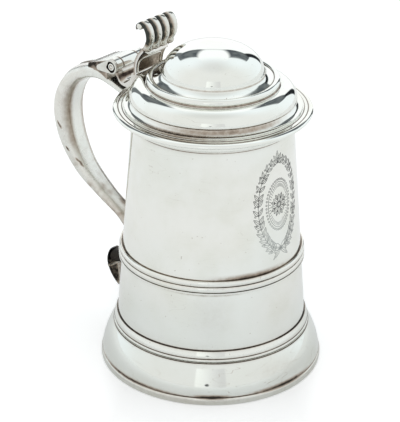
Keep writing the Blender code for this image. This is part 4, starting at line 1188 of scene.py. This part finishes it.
def bracket_outline():
    """Side view of the bracket: a trough between the knuckle and the lid.

    Each point has the stain on it and the way in which the trough's ends flare there.
    """
    low = (FLANGE_BOTTOM + FLANGE_TOP) / 2.0
    chin = (BRACKET_CHIN_RUN, FLANGE_TOP + BRACKET_CHIN_RISE - low)
    chin_centre = (-FLANGE_RADIUS - BRACKET_CHIN + chin[0], low + chin[1])
    land = THUMB_X - THUMB_LAND
    lip = HINGE_X + KNUCKLE_RADIUS + CLEARANCE + BRACKET_LIP
    reach = (land - lip) / 2.0
    runs = (
        arc((HINGE_X, HINGE_Z), (KNUCKLE_RADIUS - CLEARANCE,) * 2, *BRACKET_WRAP, 10),
        arc(chin_centre, chin, *CHIN_TURN, 10),
        [(-BEAD_RADIUS, low), (-BEAD_RADIUS, BRACKET_TOP), (land, BRACKET_TOP)],
    )
    outline = []
    for points, level in zip(runs, BRACKET_STAINS_AND_SHADE):
        outline += [(x, z, level, 0.0, 0.0) for x, z in points]
    for step in range(1, SCOOP_STEPS + 1):
        angle = -SCOOP_END * step / SCOOP_STEPS
        spot = on_oval((lip + reach, BRACKET_TOP), (reach, BRACKET_SCOOP), angle)
        shade = SCOOP_SHADE * rising(-angle, *SHADE_COMES) * rising(angle, *SHADE_GOES)
        flare = BRACKET_FLARE * hump(angle, FLARE_MIDDLE, FLARE_REACH)
        turn = math.radians(angle)
        outline.append((*spot, SCOOP_STAIN + shade, flare * math.cos(turn), flare * math.sin(turn)))
    return outline


def make_bracket():
    """Trough that carries the lid's knuckle, let into the lid's side so that none shows inside the lid."""
    outline = bracket_outline()
    dense = []
    for index, here in enumerate(outline):
        after = outline[(index + 1) % len(outline)]
        count = max(1, round(math.hypot(after[0] - here[0], after[1] - here[1]) / BRACKET_SPACING))
        for step in range(count):
            dense.append([a + (b - a) * step / count for a, b in zip(here, after)])
    rings = []
    for step in range(BRACKET_STEPS + 1):
        across = (2.0 * step / BRACKET_STEPS - 1.0) * BRACKET_HALF_WIDTH
        ends = rising(abs(across), BRACKET_HALF_WIDTH - BRACKET_FLARE, BRACKET_HALF_WIDTH)
        ring = []
        for x, z, _, flare_x, flare_z in dense:
            height = z + ends * flare_z
            wall = lid_radius(height) - WALL / 2.0
            reach = math.sqrt(max(wall * wall - across * across, 0.0))
            ring.append((min(x + ends * flare_x, -reach), across, height))
        rings.append(ring)
    stain_and_shade = [point[2] for point in dense] * len(rings)
    bracket = add_skin("lid_bracket", rings, "lid", "dark_silver", stain_and_shade)
    bevel = bracket.modifiers.new("rounded_edges", "BEVEL")
    bevel.width = BRACKET_EDGE
    bevel.segments = 3
    bevel.limit_method = "ANGLE"
    bevel.angle_limit = BEVEL_ANGLE
    bevel.harden_normals = True


def thumb_route():
    """S-shaped side view of the thumbpiece from foot to rolled tip, as points and forward normals."""
    foot = BRACKET_TOP - CLEARANCE
    knots = [(THUMB_X + x * THUMB_HEIGHT, foot + z * THUMB_HEIGHT) for x, z in THUMB_KNOTS]
    route = smooth_route(knots, THUMB_STEPS)
    curve = []
    for index, point in enumerate(route):
        run = direction_at(route, index)
        curve.append((Vector(point), Vector((run.y, -run.x))))
    return curve


THUMB_CURVE = thumb_route()


def thumb_place(share, across, forward):
    """Point of the thumbpiece at a share of its curve, a distance across and a distance forward of it."""
    position = clamp(share) * (len(THUMB_CURVE) - 1)
    index = min(int(position), len(THUMB_CURVE) - 2)
    here, after = THUMB_CURVE[index:index + 2]
    point, normal = (a.lerp(b, position - index) for a, b in zip(here, after))
    place = point + normal.normalized() * forward
    return (place.x, across, place.y)


def thumb_half_width(share):
    """Half the width of the thumbpiece, which fans out upwards."""
    return BRACKET_HALF_WIDTH + (THUMB_HALF_WIDTH - BRACKET_HALF_WIDTH) * clamp(share / SPREAD_END)


def panel_relief(share, across):
    """Relief on the thumbpiece's lower part: a round-cornered frame, a ledge and a rim at both sides."""
    height = share * PANEL_SCALE
    beside = abs(across) - (FRAME_HALF_WIDTH - FRAME_CORNER)
    above = height - (FRAME_TOP - FRAME_CORNER)
    corner = math.hypot(max(beside, 0.0), max(above, 0.0)) + min(max(beside, above), 0.0)
    border = hump(corner, FRAME_CORNER, FRAME_RIDGE)
    foot = hump(height, FOOT_LINE, FRAME_RIDGE)
    rim = hump(abs(across), thumb_half_width(share), FRAME_RIDGE)
    ledge = hump(share, LEDGE_PLACE, LEDGE_BAND) * clamp((LEDGE_HALF_WIDTH - abs(across)) / LEDGE_END)
    return max(FRAME_HEIGHT * max(border, foot, 0.8 * rim), LEDGE_DEPTH * ledge)


def make_thumb_plate():
    """Cast scroll that carries the ribs, with a framed lower panel and a ledge below the ribs."""
    rings = []
    stain_and_shade = []
    for row in range(THUMB_ROWS + 1):
        share = THUMB_SHEET_END * row / THUMB_ROWS
        setback = SHEET_SETBACK * rising(share, LEDGE_PLACE, SETBACK_END)
        half_width = thumb_half_width(share) * (1.0 - setback)
        shade = 0.65 + 0.3 * rising(share, FRAME_TOP / PANEL_SCALE, LEDGE_PLACE)
        front = []
        back = []
        for column in range(THUMB_COLUMNS + 1):
            across = (2.0 * column / THUMB_COLUMNS - 1.0) * half_width
            relief = panel_relief(share, across)
            front.append(thumb_place(share, across, THUMB_SHEET / 2.0 + relief))
            back.append(thumb_place(share, across, -THUMB_SHEET / 2.0))
            stain_and_shade.append(shade * (1.0 - rising(relief, 0.1 * MM, 0.45 * MM)))
        stain_and_shade += [0.5] * (THUMB_COLUMNS + 1)
        rings.append(front + back[::-1])
    add_piece("thumbpiece_sheet", *skin_rings(rings), "lid", "dark_silver", "thumbpiece", stain_and_shade)


def rib_tarnish_and_shade(angle):
    """Stain round a rib: tarnish deep in the grooves, painted shade further up the near flank, and thin on
    the crest.
    """
    turn = math.degrees(angle)
    if turn > 180.0:
        return RIB_BEHIND
    return max(rising(turn, *NEAR_FLANK_SHADE), rising(-turn, *FAR_FLANK))


def rib_rings(rib):
    """Sections of one rib from its knob to its tip, with the stain and painted shade at each of their points.
    """
    rings = []
    stain_and_shade = []
    for row in range(RIB_ROWS + 1):
        along = row / RIB_ROWS
        share = RIB_START + (1.0 - RIB_START) * along
        pitch = 2.0 * thumb_half_width(share) / RIB_COUNT
        middle = (rib + 0.5 - RIB_COUNT / 2.0) * pitch
        closing = math.sqrt(1.0 - (1.0 - clamp(along / KNOB_LENGTH)) ** 2)
        knob = 1.0 + RIB_KNOB * hump(along, KNOB_LENGTH, KNOB_LENGTH)
        thinned = 1.0 - RIB_THINNED * rising(share, RIB_THINNING, CURL_END)
        half = max(RIB_HALF_SHARE * pitch * closing, RIB_LEAST)
        front = max(RIB_DEPTH * knob * closing * thinned, RIB_LEAST)
        behind = max(RIB_BACK * closing, RIB_LEAST)
        worn = KNOB_STAIN * hump(along, KNOB_LENGTH / 2.0, 2.0 * KNOB_LENGTH)
        ring = []
        for step in range(RIB_STEPS):
            angle = math.tau * step / RIB_STEPS
            across = middle + half * superellipse(math.cos(angle), RIB_SQUARENESS)
            depth = front if angle < math.pi else behind
            ring.append(thumb_place(share, across, depth * superellipse(math.sin(angle), RIB_SQUARENESS)))
            stain_and_shade.append(max(worn, rib_tarnish_and_shade(angle) * rising(along, *FLANK_RUN)))
        rings.append(ring)
    return rings, stain_and_shade


def roll_outline(half_width):
    """Outline of the small roll at a rib's tip, with a domed eye at both ends."""
    side = []
    for step in range(ROLL_STEPS + 1):
        angle = math.radians(ROLL_END_TURN * (2.0 * step / ROLL_STEPS - 1.0))
        radius = ROLL_RADIUS * superellipse(math.cos(angle), ROLL_SQUARENESS)
        side.append((radius, half_width * superellipse(math.sin(angle), ROLL_SQUARENESS)))
    return [(0.0, -half_width), *side, (0.0, half_width)]


def make_thumb_ribs():
    """Ribs that fan out over the thumbpiece, each with a rolled tip."""
    parts = []
    stain_and_shade = []
    pitch = 2.0 * THUMB_HALF_WIDTH / RIB_COUNT
    for rib in range(RIB_COUNT):
        middle = (rib + 0.5 - RIB_COUNT / 2.0) * pitch
        outline = roll_outline(pitch / 2.0 + ROLL_PROUD)
        roll = turn_rows(outline, ROLL_SEGMENTS, around(ROLL_X, ROLL_Z, middle))
        rings, tarnish_and_shade = rib_rings(rib)
        parts += [skin_rings(rings), roll]
        stain_and_shade += tarnish_and_shade + [0.0] * len(roll[0])
    add_piece("thumbpiece_ribs", *merged(parts), "lid", "ribbed_silver", None, stain_and_shade)


def ahead(base, heading, forward, sideways=0.0):
    """Point at a distance forward and sideways of a base, for a heading in degrees."""
    angle = math.radians(heading)
    return (base[0] + forward * math.cos(angle) - sideways * math.sin(angle),
            base[1] + forward * math.sin(angle) + sideways * math.cos(angle))


def leaf_lines(base, heading, length, breadth):
    """Outline and midrib of a pointed leaf."""
    shares = [step / LEAF_STEPS for step in range(LEAF_STEPS + 1)]
    lines = [[ahead(base, heading, length * share) for share in shares[:-2]]]
    for side in (-breadth, breadth):
        lines.append([ahead(base, heading, length * share, side * math.sin(math.pi * share ** 0.8))
                      for share in shares])
    return lines


def oval_line(centre, radii, steps):
    """Closed oval."""
    return arc(centre, radii, 0.0, 360.0, steps)


def wreath_lines():
    """Two laurel branches that rise from a bow and nearly meet at the top."""
    lines = []
    for side in (-1.0, 1.0):
        stem = [(side * x, y) for x, y in arc((0.0, 0.0), WREATH_RADII, *WREATH_TURN, STEM_STEPS)]
        lines.append(stem)
        for pair in range(WREATH_PAIRS):
            index = 2 + pair * (STEM_STEPS - 3) // (WREATH_PAIRS - 1)
            before, base, after = stem[index - 1], stem[index], stem[min(index + 1, STEM_STEPS)]
            heading = math.degrees(math.atan2(after[1] - before[1], after[0] - before[0]))
            length = WREATH_LEAF * (1.0 - 0.35 * pair / WREATH_PAIRS)
            for splay in (-LEAF_SPLAY, LEAF_SPLAY):
                lines += leaf_lines(base, heading + splay, length, 0.19 * length)
            berry = ahead(base, heading - 90.0 * side, 0.42 * length)
            lines.append(oval_line(berry, (BERRY_RADIUS, BERRY_RADIUS), 8))
    return lines


def patera_lines():
    """Rosette of two rows of petals with rays around it, in an oval ring of beads."""
    centre = (0.0, 0.0)
    lines = [oval_line(centre, (radius, radius), 16) for radius in PATERA_EYES]
    for petal in range(PETALS):
        for share, start, length, breadth in PETAL_ROWS:
            turn = 360.0 * (petal + share) / PETALS
            lines += leaf_lines(ahead(centre, turn, start), turn, length, breadth)
    inner, beaded = PATERA_RADII
    lines.append(oval_line(centre, inner, 48))
    for ray in range(PATERA_BEADS):
        angle = 360.0 * ray / PATERA_BEADS
        rim = on_oval(centre, inner, angle)
        lines.append([(rim[0] * share, rim[1] * share) for share in RAY_SHARES])
        lines.append(oval_line(on_oval(centre, beaded, angle), (BEAD_DOT, BEAD_DOT), 8))
    return lines


def bow_lines():
    """Ribbon bow below the wreath and a palmette of five leaves above it."""
    knot = (0.0, -WREATH_RADII[1])
    lines = [oval_line(knot, BOW_KNOT, 12)]
    for heading, length, breadth in BOW_LEAVES:
        for side in (heading, 180.0 - heading):
            lines += leaf_lines(knot, side, length, breadth)
    top = (0.0, WREATH_RADII[1] * 0.94)
    for splay in PALMETTE_SPLAYS:
        lines += leaf_lines(top, 90.0 + splay, (7.0 - abs(splay) / 25.0) * MM, 1.0 * MM)
    return lines


def make_engraving():
    """Generic engraved wreath on the barrel's front: thin dark strips that follow its wall."""
    half = ENGRAVED_WIDTH / 2.0
    section = ((-half, -ENGRAVED_SUNK), (-half, ENGRAVED_PROUD),
               (half, ENGRAVED_PROUD), (half, -ENGRAVED_SUNK))
    parts = []
    for line in wreath_lines() + patera_lines() + bow_lines():
        rings = []
        for index, (across, height) in enumerate(line):
            run = direction_at(line, index)
            ring = []
            for side, proud in section:
                level = ENGRAVED_HEIGHT + height + side * run.x
                radius = barrel_radius(level)
                ring.append(upright(radius + proud, (across - side * run.y) / radius, level))
            rings.append(ring)
        parts.append(skin_rings(rings))
    add_piece("barrel_engraving", *merged(parts), "body", "engraved_silver")


def node_chain(tree):
    """Functions that fill a tree's nodes, and that add nodes to it and return them or their outputs."""
    def fill(node, values):
        for socket, value in values.items():
            if isinstance(value, bpy.types.NodeSocket):
                tree.links.new(value, node.inputs[socket])
            else:
                node.inputs[socket].default_value = value
        return node

    def add(kind, values=None, **settings):
        node = tree.nodes.new("ShaderNode" + kind)
        for label, setting in settings.items():
            setattr(node, label, setting)
        return fill(node, values or {})

    def maths(operation, *values):
        return add("Math", dict(enumerate(values)), operation=operation).outputs[0]

    def ramp(value, low, high):
        values = {"Value": value, "From Min": low, "From Max": high}
        return add("MapRange", values, interpolation_type="SMOOTHSTEP").outputs["Result"]

    def mix(factor, first, second):
        return add("Mix", {0: factor, 6: first, 7: second}, data_type="RGBA").outputs[2]

    def noise(vector, scale, detail, roughness):
        values = {"Vector": vector, "Scale": scale, "Detail": detail, "Roughness": roughness}
        return add("TexNoise", values).outputs["Fac"]

    return fill, add, maths, ramp, mix, noise


def facing(add, place, centre):
    """Parts of a place turned about an upright axis, so that Y runs away from the photograph's camera."""
    values = {"Vector": place, "Center": centre, "Angle": -math.radians(CAMERA_AZIMUTH)}
    turned = add("VectorRotate", values, rotation_type="Z_AXIS")
    return add("SeparateXYZ", {0: turned.outputs[0]}).outputs


def length_of(maths, first, second):
    """Length of a line with two parts at right angles."""
    return maths("SQRT", maths("ADD", maths("POWER", first, 2.0), maths("POWER", second, 2.0)))


def make_silver(name, colour, tarnish_and_shade, roughness, scored):
    """Worn silver: soft blotches, hairline scratches, slight waves, and brown tarnish where it is stained,
    which on some pieces stands for painted shade.
    """
    material = bpy.data.materials.new(name)
    material.use_nodes = True
    fill, add, maths, ramp, mix, noise = node_chain(material.node_tree)
    place = add("TexCoord").outputs["Object"]
    stain_and_shade = add("Attribute", attribute_name="stain_and_shade").outputs["Fac"]
    matt = add("Attribute", attribute_name="matt").outputs["Fac"]

    blotch = noise(place, *BLOTCHES)
    patches = maths("MULTIPLY_ADD", ramp(noise(place, *PATCHES), *PATCH_RUN), PATCH_DEPTH, BROKEN_LEAST)
    broken = maths("ADD", noise(place, *SPECKLES), patches)
    pits = maths("MULTIPLY", ramp(noise(place, *PITS), *PIT_RUN), PIT_DEPTH)
    stretched = add("VectorMath", {0: place, 1: HAIRLINE_STRETCH}, operation="MULTIPLY").outputs[0]
    contour = maths("ABSOLUTE", maths("SUBTRACT", noise(stretched, *HAIRLINES), 0.5))
    hairline = maths("MULTIPLY", ramp(contour, *HAIRLINE_RUN), ramp(blotch, *SCORED_RUN))
    marks = maths("MAXIMUM", maths("MULTIPLY", hairline, scored), pits)
    depth = maths("MINIMUM", maths("MAXIMUM", maths("MULTIPLY", stain_and_shade, broken), marks), 1.0)

    worn = [channel * share for channel, share in zip(colour, WORN_SHARES)]
    base = mix(ramp(blotch, *WORN_RUN), (*colour, 1.0), (*worn, 1.0))
    tinted = mix(ramp(noise(place, *TINTS), *TINT_RUN), base, mix(TINT_SHARE, base, COOL_TINT))
    browned = mix(ramp(depth, *BROWN_RUN), tinted, BROWN_TARNISH_AND_SHADE)
    rough = maths("MULTIPLY_ADD", ramp(blotch, *CLOUD_RUN), roughness * CLOUD_ROUGH, roughness)
    for mark, added in ((matt, MATT_ROUGH), (hairline, HAIRLINE_ROUGH), (depth, TARNISH_AND_SHADE_ROUGH)):
        rough = maths("MULTIPLY_ADD", mark, added, rough)
    swell = maths("MULTIPLY_ADD", hairline, HAIRLINE_HEIGHT, noise(place, *WAVES))
    bump = add("Bump", {"Strength": WAVE_STRENGTH, "Distance": 1.0 * MM, "Height": swell})
    fill(material.node_tree.nodes["Principled BSDF"], {
        "Metallic": 1.0,
        "Base Color": mix(ramp(depth, *TARNISH_AND_SHADE_RUN), browned, (*tarnish_and_shade, 1.0)),
        "Roughness": rough,
        "Normal": bump.outputs["Normal"],
    })
    return material


MATERIALS = {name: make_silver(name, *values) for name, (_, *values) in FINISHES.items()}


def make_floor():
    """Wide pale floor, lifted to white for the camera, least in front of the foot where its shadow lies."""
    mesh = bpy.data.meshes.new("floor")
    corners = [(-FLOOR_REACH, -FLOOR_REACH), (FLOOR_REACH, -FLOOR_REACH),
               (FLOOR_REACH, FLOOR_REACH), (-FLOOR_REACH, FLOOR_REACH)]
    mesh.from_pydata([(x, y, 0.0) for x, y in corners], [], [(0, 1, 2, 3)])
    material = bpy.data.materials.new("floor")
    material.use_nodes = True
    material.node_tree.nodes.clear()
    _, add, maths, ramp, _, _ = node_chain(material.node_tree)
    parts = facing(add, add("TexCoord").outputs["Object"], (AXIS_X, 0.0, 0.0))
    across = maths("ABSOLUTE", maths("SUBTRACT", parts["X"], AXIS_X))
    reach = length_of(maths, across, parts["Y"])
    beyond = maths("MULTIPLY", ramp(reach, FOOT_RADIUS, 2.0 * FOOT_RADIUS), SHADOW_LEFT)
    clear = maths("MAXIMUM", ramp(across, *SHADOW_SIDE), beyond)
    raised = maths("MULTIPLY_ADD", clear, FLOOR_LIFT - SHADOW_LIFT, SHADOW_LIFT)
    away = maths("MULTIPLY", ramp(reach, FOOT_RADIUS, 5.0 * FOOT_RADIUS), MIRRORED_LIFT)
    path = add("LightPath").outputs
    mirrored = maths("MULTIPLY", path["Is Glossy Ray"], away)
    seen = maths("MULTIPLY_ADD", path["Is Camera Ray"], raised, mirrored)
    diffuse = add("BsdfDiffuse", {"Color": (FLOOR_SHADE, FLOOR_SHADE, FLOOR_SHADE, 1.0)})
    lift = add("Emission", {"Strength": seen})
    both = add("AddShader", {0: diffuse.outputs[0], 1: lift.outputs[0]})
    add("OutputMaterial", {"Surface": both.outputs[0]})
    mesh.materials.append(material)
    floor = bpy.data.objects.new("floor", mesh)
    bpy.context.scene.collection.objects.link(floor)


def make_world():
    """White tent of a studio: pale all round, brightest behind, with a dark gap at both sides.

    Angles are in degrees: across is measured from the direction behind the tankard, rise from level.
    """
    world = bpy.data.worlds.new("studio")
    world.use_nodes = True
    fill, add, maths, ramp, mix, noise = node_chain(world.node_tree)
    place = add("TexCoord").outputs["Generated"]
    parts = facing(add, place, (0.0, 0.0, 0.0))
    side = maths("DEGREES", maths("ARCTAN2", parts["X"], parts["Y"]))
    across = maths("ABSOLUTE", side)
    rise = maths("DEGREES", maths("ARCSINE", parts["Z"]))

    def above(value, limit, soft):
        """Nought below a limit and one above it, with a soft edge."""
        return ramp(maths("SUBTRACT", value, limit), -soft, soft)

    def below(value, limit, soft):
        """One below a limit and nought above it, with a soft edge."""
        return ramp(maths("SUBTRACT", value, limit), soft, -soft)

    def within(value, low, high, soft):
        """One inside a band of angles, with soft edges."""
        return maths("MULTIPLY", above(value, low, soft), below(value, high, soft))

    # A gap's upper edge rises to a peak and falls again, and its lower edge dips to the column below it
    peak = maths("MINIMUM", *[maths("MULTIPLY_ADD", across, *slant) for slant in GAP_UPPER_SLANTS])
    dip = maths("MAXIMUM", *[maths("MULTIPLY_ADD", across, *slant) for slant in GAP_LOWER_SLANTS])
    gap = maths("MULTIPLY", above(rise, dip, GAP_LOWER_SOFTNESS), below(rise, peak, GAP_UPPER_SOFTNESS))
    column = maths("MULTIPLY", within(across, *COLUMN_ACROSS), within(rise, *COLUMN_RISE))
    arch = maths("MULTIPLY", ramp(across, *ARCH_FADE), within(rise, *ARCH_RISE))
    backdrop = maths("MINIMUM", ramp(across, *BACKDROP_SIDE_FADE), ramp(rise, *BACKDROP_TOP_FADE))

    # The pane of light and the lens in it stand on the camera's side
    front = maths("SUBTRACT", maths("WRAP", side, 360.0, 0.0), 180.0)
    pane = maths("MULTIPLY", within(front, *PANE_ACROSS), within(rise, *PANE_RISE))
    glare = mix(ramp(front, *PANE_FADE), PANE_SHADE, PANE_COLOUR)
    off_lens = [maths("SUBTRACT", angle, middle) for angle, middle in zip((front, rise), LENS_PLACE)]
    lens = below(length_of(maths, *off_lens), LENS_RADIUS, LENS_SOFTNESS)

    level = mix(ramp(across, *BACK_FADE), TENT_COLOUR, BACK_COLOUR)
    pale = mix(ramp(rise, *ZENITH_FADE), level, ZENITH_COLOUR)
    lit = mix(backdrop, pale, BACKDROP_COLOUR)
    ruled = mix(maths("MULTIPLY", arch, ARCH_DEPTH), lit, GAP_COLOUR)
    uneven = mix(ramp(noise(place, *GAP_NOISE), 0.3, 0.7), GAP_COLOUR, GAP_SHADE)
    gapped = mix(gap, ruled, uneven)
    shade = mix(above(side, 0.0, COLUMN_SIDE_SOFTNESS), GAP_COLOUR, COLUMN_COLOUR)
    columned = mix(column, gapped, shade)
    studio = mix(lens, mix(pane, columned, glare), COLUMN_COLOUR)
    seen = mix(add("LightPath").outputs["Is Camera Ray"], studio, WHITE)
    fill(world.node_tree.nodes["Background"], {"Color": seen})
    bpy.context.scene.world = world


def make_camera():
    """Camera at the photograph's place: aimed at the barrel, then turned a little in its own axes."""
    data = bpy.data.cameras.new("camera")
    data.lens = CAMERA_LENS
    data.clip_start = 10.0 * MM
    camera = bpy.data.objects.new("camera", data)
    bpy.context.scene.collection.objects.link(camera)
    azimuth = math.radians(CAMERA_AZIMUTH)
    elevation = math.radians(CAMERA_ELEVATION)
    level = math.cos(elevation)
    back = Vector((math.sin(azimuth) * level, -math.cos(azimuth) * level, math.sin(elevation)))
    camera.rotation_mode = "QUATERNION"
    camera.location = Vector((AXIS_X, 0.0, CAMERA_AIM_HEIGHT)) + back * CAMERA_DISTANCE
    turn = Euler([math.radians(angle) for angle in CAMERA_TURN]).to_quaternion()
    camera.rotation_quaternion = (-back).to_track_quat("-Z", "Y") @ turn
    bpy.context.scene.camera = camera


def make_pieces():
    """Every piece of the tankard: the turned ones first, then the cast ones and the engraving."""
    for node, outline, body, finish in (
        ("barrel", barrel_outline(), "body", "polished_silver"),
        ("base_disc", base_outline(), "body", "polished_silver"),
        ("foot_rim", foot_rim_outline(), "body", "worn_silver"),
        ("foot_skirt", skirt_outline(), "body", "worn_silver"),
        ("foot_collar", collar_outline(), "body", "polished_silver"),
        ("girdle_band", girdle_outline(), "body", "polished_silver"),
        ("lip_moulding", lip_outline(), "body", "polished_silver"),
        ("lid_flange", flange_outline(), "lid", "polished_silver"),
        ("lid_cover", cover_outline(), "lid", "polished_silver"),
        ("lid_bezel", bezel_outline(), "lid", "polished_silver"),
    ):
        lathe(node, outline, body, finish)
    make_handle()
    make_terminal()
    make_hinge_plate()
    make_hinge_drop()
    make_hinge()
    make_bracket()
    make_thumb_plate()
    make_thumb_ribs()
    make_engraving()


make_pieces()
make_floor()
make_world()
make_camera()
bpy.context.scene.view_settings.view_transform = "Standard"
